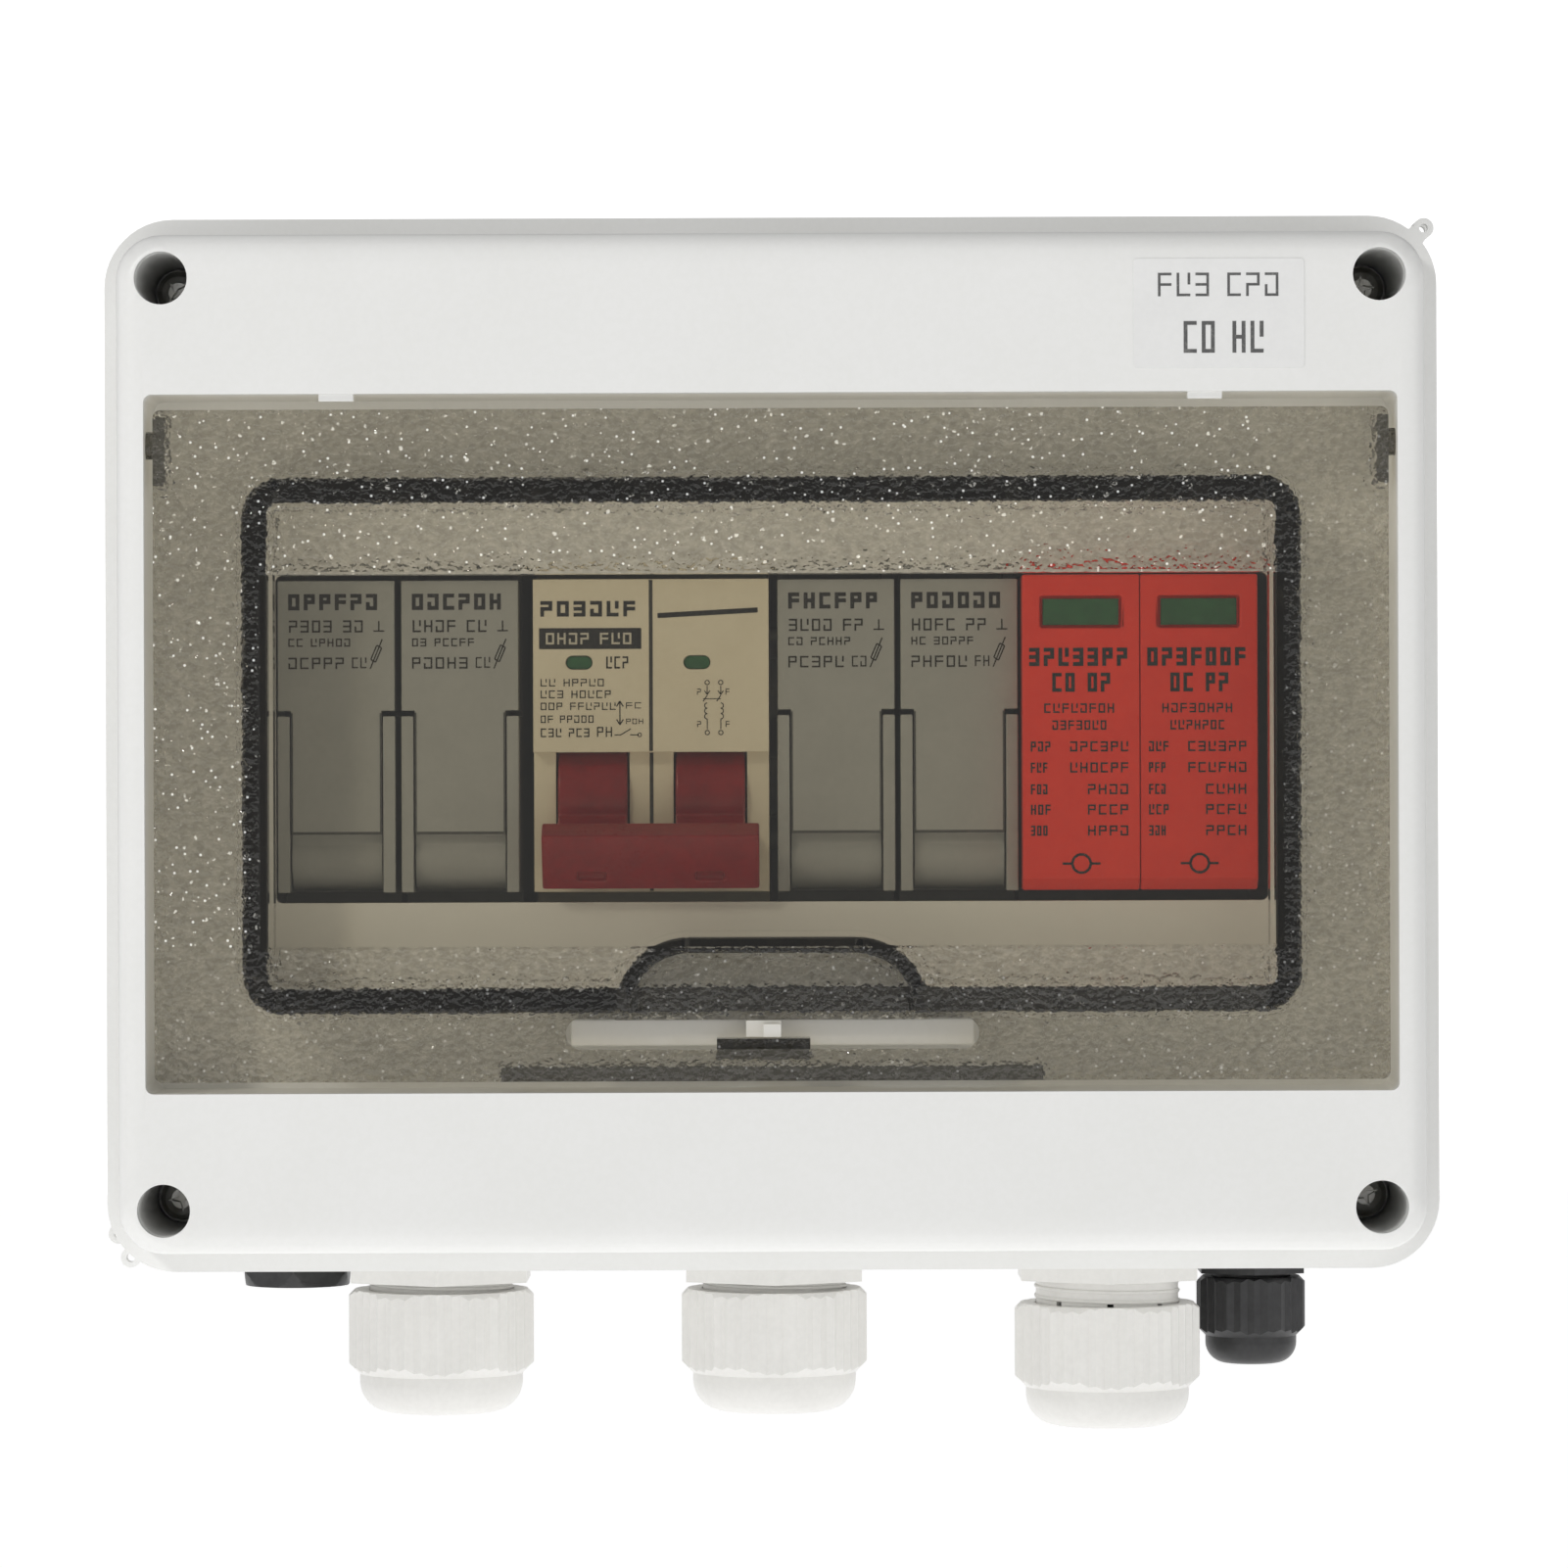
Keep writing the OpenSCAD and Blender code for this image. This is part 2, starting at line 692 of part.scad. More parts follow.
// Comb busbar: a flat bar above the row with a prong down into the clamp of each module named.
module comb_bus(modules, bar_z, bar_d, colour) {
    bar_h = 4.5;
    bar_t = 2.6;
    prong_w = 3;
    prong_t = 1.8;
    color(colour) {
        block(module_x(modules[0]) - prong_w, module_x(modules[len(modules) - 1]) + prong_w,
            bar_d, bar_d + bar_t, bar_z, bar_z + bar_h);
        for (i = modules)
            block(module_x(i) - prong_w / 2, module_x(i) + prong_w / 2, bar_d, bar_d + prong_t,
                terminal_z(1) - 1, bar_z + 0.5);
    }
}

module plus_bus() {
    comb_bus([0, 1, 2, 6], device_top + 6.5, clamp_d + 4.4, [0.75, 0.10, 0.08]);
}

module minus_bus() {
    comb_bus([3, 4, 5, 7], device_top + 1, clamp_d + 1.7, nylon_black);
}

// ---------------------------------------------------------------------------------------------
// Fuse holders
// ---------------------------------------------------------------------------------------------

module fuse_body(i) {
    x = module_x(i);
    x0 = x - module_w / 2 + bay_side;
    x1 = x + module_w / 2 - bay_side;
    seat_d = shoulder_d + 2.5;
    color(grey)
        difference() {
            device_body(i, [
                [shoulder_d, nose_bottom], [holder_d, nose_bottom], [holder_d, cap_z - 0.8],
                [seat_d, cap_z - 0.8], [seat_d, nose_top], [shoulder_d, nose_top]]);
            // Bay of the carrier, round at its foot, and the bores of its pivot
            block(x0, x1, bay_back, holder_d + 1, pivot_z, nose_top + 3.2);
            block(x0, x1, pivot_d - 2, holder_d + 1, nose_bottom - 1, pivot_z + 1);
            rod_x(x0, x1, pivot_d, pivot_z, lobe_r + 0.35);
            rod_x(x - module_w / 2 + 0.4, x + module_w / 2 - 0.4, pivot_d, pivot_z, pin_r + pin_fit);
        }
}

// The swing-out carrier: full-width head, finger flap, round foot with its pivot pins, and the
// two cheeks that hold the fuse.
module fuse_carrier(i) {
    x = module_x(i);
    x0 = x - carrier_w / 2;
    x1 = x + carrier_w / 2;
    head_x0 = x - module_w / 2 + 0.05;
    head_x1 = x + module_w / 2 - 0.05;
    flap_z = pivot_z + 3.7;
    flap_t = 1.6;
    front = holder_d - flap_t;
    back = pivot_d - lobe_r;
    color(grey)
        difference() {
            union() {
                block(head_x0, head_x1, shoulder_d + 2.7, holder_d, cap_z, nose_top - 0.05);
                block(x0, x1, back, front, pivot_z, cap_z + 0.5);
                block(x0, x1, front - 0.5, holder_d, flap_z, cap_z + 0.5);
                rod_x(x0, x1, pivot_d, pivot_z, lobe_r);
                rod_x(x - module_w / 2 + 0.5, x + module_w / 2 - 0.5, pivot_d, pivot_z, pin_r);
                // Cheeks
                block(x0, x1, fuse_d - 3, back + 0.5, -5, 12);
            }
            // Room for the fuse
            translate([x, -fuse_d, fuse_z - fuse_l / 2 - 0.6]) cylinder(h = fuse_l + 1.2, r = fuse_r + 0.08);
            block(x - fuse_r, x + fuse_r, fuse_d - 6, fuse_d, -6, 13);
        }
}

module fuse_link(i) {
    ferrule_l = 10;
    color(ceramic)
        translate([module_x(i), -fuse_d, fuse_z]) {
            translate([0, 0, -fuse_l / 2]) cylinder(h = ferrule_l, r = fuse_r);
            translate([0, 0, fuse_l / 2 - ferrule_l]) cylinder(h = ferrule_l, r = fuse_r);
            translate([0, 0, -fuse_l / 2 + 1]) cylinder(h = fuse_l - 2, r = fuse_r - 0.15);
        }
}

// Sprung contacts that grip both ferrules of each fuse from behind.
module fuse_clips() {
    jaw_t = 0.6;
    clip_h = 6.5;
    color(copper)
        for (i = [0, 1, 4, 5], s = [-1, 1]) {
            x = module_x(i);
            z = fuse_z + s * (fuse_l / 2 - clip_h / 2 - 1);
            slab_z(z - clip_h / 2, z + clip_h / 2)
                difference() {
                    translate([x, -fuse_d]) circle(r = fuse_r + 0.15 + jaw_t);
                    translate([x, -fuse_d]) circle(r = fuse_r + 0.15);
                    translate([x - fuse_r - 2, -fuse_d - 2 * fuse_r - 1]) square([2 * fuse_r + 4, 2 * fuse_r]);
                }
            block(x - 2, x + 2, bay_back, fuse_d - fuse_r - 0.3, z - clip_h / 2, z + clip_h / 2);
        }
}

// An outline drawn in X and Y, made solid between two heights.
module slab_z(z0, z1) {
    translate([0, 0, z0])
        linear_extrude(z1 - z0)
            children();
}

// ---------------------------------------------------------------------------------------------
// Breaker
// ---------------------------------------------------------------------------------------------

module breaker_pole(i) {
    x = module_x(i);
    slot_w2 = arm_w / 2 + 0.3;
    color(cream)
        difference() {
            device_body(i, [
                [shoulder_d, nose_bottom], [lower_d, nose_bottom], [lower_d, step_z],
                [breaker_d, step_z], [breaker_d, nose_top], [shoulder_d, nose_top]]);
            rod_x(x - slot_w2, x + slot_w2, drum_d, drum_z, drum_r + drum_fit);
            block(x - slot_w2, x + slot_w2, drum_d, breaker_d + 1, nose_bottom + 2.4, step_z - 0.05);
            rod_x(x - slot_w2 - 2, x + slot_w2 + 2, drum_d, drum_z, axle_r + axle_fit);
            slab(breaker_d - 1.2, breaker_d + 1)
                translate([x - 1.9, flag_z]) stadium(flag_w + 0.2, flag_h + 0.2);
        }
}

// One moulding: a drum on stub axles and an arm in each pole, and the bar that ties the arms.
module breaker_handle() {
    arm_t = 3.4;
    bar_t = 4;
    bar_h = 9;
    bar_w = 31.9;
    mid = (module_x(2) + module_x(3)) / 2;
    color(lever_red)
        translate([0, -drum_d, drum_z])
            rotate([-off_angle, 0, 0])
                difference() {
                    union() {
                        for (i = [2, 3])
                            translate([module_x(i) - arm_w / 2, 0, 0]) {
                                rotate([0, 90, 0]) cylinder(h = arm_w, r = drum_r);
                                translate([0, -arm_reach, -arm_t / 2]) cube([arm_w, arm_reach, arm_t]);
                                translate([-1.9, 0, 0]) rotate([0, 90, 0]) cylinder(h = arm_w + 3.8, r = axle_r);
                            }
                        translate([mid - bar_w / 2, -arm_reach - bar_t / 2, -bar_h / 2])
                            cube([bar_w, bar_t, bar_h]);
                    }
                    // Two small moulded notches on the front of the bar
                    for (i = [2, 3])
                        translate([module_x(i) - 2.1, -arm_reach - bar_t / 2 - 1, -bar_h / 2 + 1.4])
                            cube([4.2, 1.8, 1.4]);
                }
}

module breaker_flags() {
    color(flag_green)
        for (i = [2, 3])
            slab(breaker_d - 1.2, breaker_d - 0.5)
                translate([module_x(i) - 1.9, flag_z]) stadium(flag_w, flag_h);
}

// ---------------------------------------------------------------------------------------------
// Surge arrester
// ---------------------------------------------------------------------------------------------

// The base of both cartridges: two module bodies joined, with a socket between their shoulders.
module surge_base() {
    color([0.55, 0.56, 0.57])
        difference() {
            union() {
                for (i = [6, 7])
                    device_body(i, [
                        [shoulder_d, nose_bottom - 0.2], [surge_seat, nose_bottom - 0.2],
                        [surge_seat, nose_top + 0.6], [shoulder_d, nose_top + 0.6]]);
                block(module_x(6), module_x(7), device_back + 6, surge_seat, nose_bottom, nose_top);
            }
            for (i = [6, 7], s = [-1, 1])
                block(module_x(i) - blade_w / 2 - 0.3, module_x(i) + blade_w / 2 + 0.3,
                    surge_seat - blade_l - 1, surge_seat + 1,
                    rail_z + s * blade_z - blade_t / 2 - 0.3, rail_z + s * blade_z + blade_t / 2 + 0.3);
        }
}

module surge_cartridge(i) {
    x = module_x(i);
    side = module_w / 2 - 0.06;
    chamfer = 1.7;
    color(surge_red)
        difference() {
            union() {
                along_x(x - side, x + side, [
                    [surge_seat + 0.05, nose_bottom + 0.1], [surge_d - chamfer, nose_bottom + 0.1],
                    [surge_d, nose_bottom + 0.1 + chamfer], [surge_d, nose_top + 0.4],
                    [surge_seat + 0.05, nose_top + 0.4]]);
                for (s = [-1, 1])
                    block(x - blade_w / 2, x + blade_w / 2, surge_seat - blade_l, surge_seat + 1,
                        rail_z + s * blade_z - blade_t / 2, rail_z + s * blade_z + blade_t / 2);
            }
            block(x - window_w / 2, x + window_w / 2, surge_d - window_sink, surge_d + 1,
                window_z - window_h / 2, window_z + window_h / 2);
        }
}

module surge_flag(i) {
    x = module_x(i);
    color(flag_green)
        block(x - window_w / 2 + 0.4, x + window_w / 2 - 0.4, surge_d - window_sink, surge_d - 0.6,
            window_z - window_h / 2 + 0.4, window_z + window_h / 2 - 0.4);
}

// ---------------------------------------------------------------------------------------------
// Glands
// ---------------------------------------------------------------------------------------------

module hex(af) {
    rotate(30) circle(r = af / 2 / cos(30), $fn = 6);
}

// Screwed body: spigot through the wall, hexagon under it, and the claw that grips the seal.
// Drawn with the underside of the wall at height 0.
module gland_body(af, r, hex_t, neck) {
    bore = r - claw_t;
    slots = 8;
    difference() {
        union() {
            slab_z(-washer_t - hex_t, -washer_t) hex(af);
            translate([0, 0, -washer_t - eps]) cylinder(h = washer_t + spigot, r = r);
            translate([0, 0, -washer_t - hex_t - neck]) cylinder(h = neck + 1, r = r - 0.2);
        }
        translate([0, 0, -washer_t - hex_t - neck - 1]) cylinder(h = neck + hex_t + washer_t + spigot + 2, r = bore);
        for (k = [0 : slots / 2 - 1])
            rotate(k * 360 / slots)
                translate([-r - 1, -0.5, -washer_t - hex_t - neck - 1])
                    cube([2 * r + 2, 1, neck - 2]);
    }
}

// Outline of a cap: a hexagon with rounded corners.
function rib_radius(a, af, corner) =
    min(af / 2 / cos((a + 360) % 60 - 30), corner);

// The same outline with its ribs, two points to each.
module ribbed_outline(af, corner, ribs, rib) {
    polygon([for (k = [0 : 2 * ribs - 1])
        let (a = k * 180 / ribs, r = rib_radius(a, af, corner) - (k % 2) * rib)
        [r * cos(a), r * sin(a)]]);
}

// Clamping cap with its top at height 0: ribs above, a smooth dome below, open for the cable.
module gland_cap(af, r, cap_h, dome, ribs, mouth) {
    corner = af / 2 * 1.06;
    dome_r = af / 2 - 0.9;
    roll = dome * 0.8;
    difference() {
        union() {
            intersection() {
                slab_z(-cap_h + dome, 0) ribbed_outline(af, corner, ribs, 0.45);
                rotate_extrude()
                    polygon([[0, 0], [corner - 0.9, 0], [corner + 0.4, -1.3],
                        [corner + 0.4, -cap_h + dome + 2], [corner - 1.6, -cap_h + dome],
                        [0, -cap_h + dome]]);
            }
            rotate_extrude() {
                polygon([[0, -1], [dome_r - 0.6, -1], [dome_r, -cap_h + dome + 0.5],
                    [dome_r, -cap_h + roll], [0, -cap_h + roll]]);
                translate([0, -cap_h]) square([dome_r - roll, roll + 1]);
                intersection() {
                    translate([dome_r - roll, -cap_h + roll]) circle(r = roll);
                    translate([0, -cap_h]) square([dome_r + 1, roll + 1]);
                }
            }
        }
        translate([0, 0, -cap_h + dome - 1]) cylinder(h = cap_h, r = r - 0.2 + thread_fit);
        translate([0, 0, -cap_h - 1]) cylinder(h = cap_h, r = mouth);
    }
}

// Rubber insert inside the claw, bored for the cable.
module gland_seal(r, hex_t, neck, bore) {
    difference() {
        translate([0, 0, -washer_t - hex_t - neck + 0.4]) cylinder(h = neck, r = r - claw_t - 0.05);
        translate([0, 0, -washer_t - hex_t - neck - 1]) cylinder(h = neck + 3, r = bore);
    }
}

module washer(r, outer) {
    difference() {
        translate([0, 0, -washer_t]) cylinder(h = washer_t, r = outer);
        translate([0, 0, -washer_t - 1]) cylinder(h = washer_t + 2, r = r + fit);
    }
}

module locknut(r, af, t) {
    difference() {
        slab_z(wall, wall + t) hex(af);
        translate([0, 0, 0]) cylinder(h = wall + t + 1, r = r + fit / 2);
    }
}

module at_gland(k) {
    translate([gland_x(k), -gland_d, bottom_z])
        children();
}

module at_small(s) {
    translate([s * (box_w / 2 - small_inset), -small_d, bottom_z])
        children();
}

module large_body(k) {
    color(white) at_gland(k) gland_body(large_af, gland_r, large_hex_t, large_neck);
}

module large_cap(k) {
    color(white)
        at_gland(k)
            translate([0, 0, -washer_t - large_hex_t - cap_gap - cap_slack[k - 1]])
                gland_cap(large_af, gland_r, large_cap_h, large_dome, 36, 8.4);
}

module large_seal(k) {
    color(rubber) at_gland(k) gland_seal(gland_r, large_hex_t, large_neck, cable_r);
}

module gland_washers() {
    color(rubber)
        for (k = [1 : 3]) at_gland(k) washer(gland_r, large_af / 2);
}

module gland_locknuts() {
    color(white)
        for (k = [1 : 3]) at_gland(k) locknut(gland_r, large_af + 1, nut_t);
}

module earth_gland_body() {
    color(nylon_black) at_small(1) gland_body(small_af, small_r, small_hex_t, small_neck);
}

module earth_gland_cap() {
    color(nylon_black)
        at_small(1)
            translate([0, 0, -washer_t - small_hex_t - 0.6])
                gland_cap(small_af, small_r, small_cap_h, small_dome, 24, 4.2);
}

module earth_gland_seal() {
    color(rubber) at_small(1) gland_seal(small_r, small_hex_t, small_neck, earth_cable_r);
}

// Blanking plug for the entry that carries no gland.
module plug() {
    head_h = 6.3;
    color(nylon_black)
        at_small(-1) {
            intersection() {
                slab_z(-washer_t - head_h, -washer_t) hex(small_af);
                translate([0, 0, -washer_t - head_h])
                    cylinder(h = head_h, r1 = small_af / 2 + 0.1, r2 = small_af / 2 + 3);
            }
            translate([0, 0, -washer_t - eps]) cylinder(h = washer_t + spigot - 2, r = small_r);
        }
}

module small_washers() {
    color(rubber)
        for (s = [-1, 1]) at_small(s) washer(small_r, small_af / 2);
}

module small_locknuts() {
    color(nylon_black)
        for (s = [-1, 1]) at_small(s) locknut(small_r, small_af, nut_t - 1.5);
}

// ---------------------------------------------------------------------------------------------
// Assembly
// ---------------------------------------------------------------------------------------------

base_shell();
cover_shell();
rim_seal();
cover_screws();
door();
door_seal();
label();
din_rail();
rail_screws();
rail_clips();
fuse_body(0);  // fuse_body_1
fuse_body(1);  // fuse_body_2
fuse_body(4);  // fuse_body_3
fuse_body(5);  // fuse_body_4
fuse_carrier(0);  // fuse_carrier_1
fuse_carrier(1);  // fuse_carrier_2
fuse_carrier(4);  // fuse_carrier_3
fuse_carrier(5);  // fuse_carrier_4
fuse_link(0);  // fuse_link_1
fuse_link(1);  // fuse_link_2
fuse_link(4);  // fuse_link_3
fuse_link(5);  // fuse_link_4
fuse_clips();
breaker_pole(2);  // breaker_pole_left
breaker_pole(3);  // breaker_pole_right
breaker_handle();
breaker_flags();
surge_base();
surge_cartridge(6);  // surge_cartridge_1
surge_cartridge(7);  // surge_cartridge_2
surge_flag(6);  // surge_flag_1
surge_flag(7);  // surge_flag_2
terminal_clamps();
terminal_screws();
plus_bus();
minus_bus();
large_body(1);  // gland_body_1
large_body(2);  // gland_body_2
large_body(3);  // gland_body_3
large_cap(1);  // gland_cap_1
large_cap(2);  // gland_cap_2
large_cap(3);  // gland_cap_3
large_seal(1);  // gland_seal_1
large_seal(2);  // gland_seal_2
large_seal(3);  // gland_seal_3
gland_washers();
gland_locknuts();
earth_gland_body();
earth_gland_cap();
earth_gland_seal();
plug();
small_washers();
small_locknuts();
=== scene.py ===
"""Looks of a DC combiner box: finishes, prints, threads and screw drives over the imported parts."""
import json
import logging
import math
from dataclasses import dataclass, replace
from enum import Enum
from random import Random
from typing import Any, Iterable, Sequence

import bmesh
import bpy
from mathutils import Matrix, Vector

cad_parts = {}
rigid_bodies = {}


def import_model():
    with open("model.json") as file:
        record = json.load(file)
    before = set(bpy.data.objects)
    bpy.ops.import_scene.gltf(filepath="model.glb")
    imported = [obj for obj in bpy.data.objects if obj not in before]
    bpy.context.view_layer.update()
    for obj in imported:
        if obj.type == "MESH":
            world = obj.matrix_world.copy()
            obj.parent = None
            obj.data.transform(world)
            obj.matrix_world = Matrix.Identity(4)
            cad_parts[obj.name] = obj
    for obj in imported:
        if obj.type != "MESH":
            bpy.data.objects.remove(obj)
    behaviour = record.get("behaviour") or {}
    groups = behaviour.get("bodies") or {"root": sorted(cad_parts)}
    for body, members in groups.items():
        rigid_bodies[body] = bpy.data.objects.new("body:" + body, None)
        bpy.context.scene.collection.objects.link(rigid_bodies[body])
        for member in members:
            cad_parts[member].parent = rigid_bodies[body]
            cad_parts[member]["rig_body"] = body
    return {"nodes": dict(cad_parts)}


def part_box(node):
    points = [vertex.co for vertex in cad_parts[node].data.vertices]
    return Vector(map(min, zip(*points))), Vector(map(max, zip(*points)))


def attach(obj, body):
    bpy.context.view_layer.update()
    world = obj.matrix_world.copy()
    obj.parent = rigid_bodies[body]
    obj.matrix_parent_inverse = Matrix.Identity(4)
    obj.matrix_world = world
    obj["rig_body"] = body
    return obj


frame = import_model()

MM = 0.001
log = logging.getLogger("combiner_box")

Colour = tuple[float, float, float]


# ---------------------------------------------------------------------------------------------
# Shader tools
# ---------------------------------------------------------------------------------------------

class Number:
    """A number on a socket. Sums written with it add Math nodes to its tree."""

    def __init__(self, recipe: "Recipe", socket: bpy.types.NodeSocket) -> None:
        """Wrap one socket.

        Args:
            recipe: The material that the socket belongs to.
            socket: The output that carries the number.
        """
        self.recipe = recipe
        self.socket = socket

    def _sum(self, operation: str, *terms: "Number | float") -> "Number":
        """Add one Math node.

        Args:
            operation: The Math node's operation.
            terms: Numbers or wrapped sockets, in the node's order.

        Returns:
            The node's result.
        """
        made = self.recipe.node("Math", {"operation": operation}, dict(enumerate(terms)))
        return Number(self.recipe, made.outputs[0])

    def __add__(self, other: "Number | float") -> "Number":
        """self + other."""
        return self._sum("ADD", self, other)

    def __radd__(self, other: "Number | float") -> "Number":
        """other + self."""
        return self._sum("ADD", other, self)

    def __sub__(self, other: "Number | float") -> "Number":
        """self - other."""
        return self._sum("SUBTRACT", self, other)

    def __rsub__(self, other: "Number | float") -> "Number":
        """other - self."""
        return self._sum("SUBTRACT", other, self)

    def __mul__(self, other: "Number | float") -> "Number":
        """self * other."""
        return self._sum("MULTIPLY", self, other)

    def __rmul__(self, other: "Number | float") -> "Number":
        """other * self."""
        return self._sum("MULTIPLY", other, self)

    def __abs__(self) -> "Number":
        """The size of the number."""
        return self._sum("ABSOLUTE", self)

    def most(self, other: "Number | float") -> "Number":
        """The larger of two numbers."""
        return self._sum("MAXIMUM", self, other)

    def ramp(self, low: float, high: float) -> "Number":
        """A smooth step from 0 at low to 1 at high.

        Args:
            low: Where the step starts.
            high: Where it ends.

        Returns:
            The stepped number.
        """
        made = self.recipe.node("MapRange", {"interpolation_type": "SMOOTHSTEP"},
                                {"Value": self, "From Min": low, "From Max": high})
        return Number(self.recipe, made.outputs[0])


class Recipe:
    """The nodes of one material while it is put together."""

    def __init__(self, name: str) -> None:
        """Start an empty material.

        Args:
            name: The material's name.
        """
        self.material = bpy.data.materials.new(name)
        self.material.use_nodes = True
        self.tree = self.material.node_tree
        self.tree.nodes.clear()

    def node(self, kind: str, settings: dict[str, Any] | None = None,
             sockets: dict[Any, Any] | None = None) -> bpy.types.Node:
        """Add a node, make its settings and fill its sockets.

        Args:
            kind: The node's type, without the ShaderNode prefix.
            settings: Attributes that are set first.
            sockets: Values or links by the socket's identifier, name or number.

        Returns:
            The new node.
        """
        made = self.tree.nodes.new("ShaderNode" + kind)
        for key, value in (settings or {}).items():
            setattr(made, key, value)
        named = {s.identifier: s for s in made.inputs}
        for key, value in (sockets or {}).items():
            socket = named[key] if key in named else made.inputs[key]
            if isinstance(value, Number):
                self.tree.links.new(value.socket, socket)
            elif isinstance(value, bpy.types.NodeSocket):
                self.tree.links.new(value, socket)
            elif isinstance(value, tuple) and len(value) == 3 and socket.type == "RGBA":
                socket.default_value = (*value, 1.0)
            else:
                socket.default_value = value
        return made

    def place(self) -> bpy.types.NodeSocket:
        """The point on the object, in metres."""
        return self.node("TexCoord").outputs["Object"]

    def axes(self) -> tuple[Number, Number, Number]:
        """The point's X, Y and Z as numbers."""
        parts = self.node("SeparateXYZ", sockets={0: self.place()})
        return tuple(Number(self, s) for s in parts.outputs[:3])

    def noise(self, size_mm: float, detail: float = 2.0, stretch: Colour = (1.0, 1.0, 1.0),
              rough: float = 0.5) -> Number:
        """Soft random pattern.

        Args:
            size_mm: About how large one patch is.
            detail: How many finer layers are added.
            stretch: Scale along X, Y and Z; small numbers draw the pattern out.
            rough: How strong the finer layers are.

        Returns:
            A number from 0 to 1, most often near 0.5.
        """
        turned = self.node("Mapping", sockets={"Vector": self.place(), "Scale": stretch})
        made = self.node("TexNoise", {"noise_dimensions": "3D"}, {
            "Vector": turned.outputs[0], "Scale": 1.0 / (size_mm * MM), "Detail": detail,
            "Roughness": rough})
        return Number(self, made.outputs[0])

    def cells(self, size_mm: float) -> Number:
        """Distance to the nearest of many scattered points, from 0 up to about 1."""
        made = self.node("TexVoronoi", {"feature": "F1"},
                         {"Vector": self.place(), "Scale": 1.0 / (size_mm * MM)})
        return Number(self, made.outputs["Distance"])

    def blend(self, part: "Number | float", first: Any, second: Any) -> bpy.types.NodeSocket:
        """Mix two colours.

        Args:
            part: How much of the second colour shows.
            first: A colour or a colour socket.
            second: A colour or a colour socket.

        Returns:
            The mixed colour.
        """
        made = self.node("Mix", {"data_type": "RGBA"},
                         {"Factor_Float": part, "A_Color": first, "B_Color": second})
        return next(s for s in made.outputs if s.identifier == "Result_Color")

    def bump(self, height: Number, deep_mm: float, over: bpy.types.NodeSocket | None = None,
             ) -> bpy.types.NodeSocket:
        """Turn a height from 0 to 1 into a normal.

        Args:
            height: The pattern.
            deep_mm: How deep its full range is.
            over: A normal to lay it over.

        Returns:
            The bent normal.
        """
        sockets = {"Height": height, "Distance": deep_mm * MM, "Strength": 1.0}
        if over is not None:
            sockets["Normal"] = over
        return self.node("Bump", sockets=sockets).outputs[0]

    def finish(self, shader: bpy.types.NodeSocket) -> bpy.types.Material:
        """Join a shader to the output and hand the material over."""
        output = self.node("OutputMaterial", sockets={"Surface": shader})
        output.is_active_output = True
        return self.material


# ---------------------------------------------------------------------------------------------
# Finishes
# ---------------------------------------------------------------------------------------------

@dataclass(frozen=True)
class MouldedPlastic:
    """Injection-moulded plastic: slow mottling, flow marks and a fine spark-eroded grain."""

    name: str
    colour: Colour
    deeper: Colour
    roughness: float = 0.42
    sheen_spread: float = 0.12
    grain_mm: float = 0.28
    grain_deep: float = 0.006
    mottle_mm: float = 9.0
    specular: float = 0.5

    def material(self) -> bpy.types.Material:
        """Build the finish."""
        recipe = Recipe(self.name)
        mottle = recipe.noise(self.mottle_mm, 3.0)
        specks = recipe.noise(0.9, 2.0)
        grain = recipe.noise(self.grain_mm, 3.0)
        flow = recipe.noise(14.0, 2.0, (1.0, 1.0, 0.25))
        part = (mottle.ramp(0.3, 0.7) * 0.6 + specks.ramp(0.35, 0.65) * 0.4)
        gloss = (flow - 0.5) * self.sheen_spread + (grain - 0.5) * self.sheen_spread + self.roughness
        shader = recipe.node("BsdfPrincipled", sockets={
            "Base Color": recipe.blend(part, self.colour, self.deeper), "Roughness": gloss,
            "Specular IOR Level": self.specular, "IOR": 1.5,
            "Normal": recipe.bump(grain, self.grain_deep)})
        return recipe.finish(shader.outputs[0])


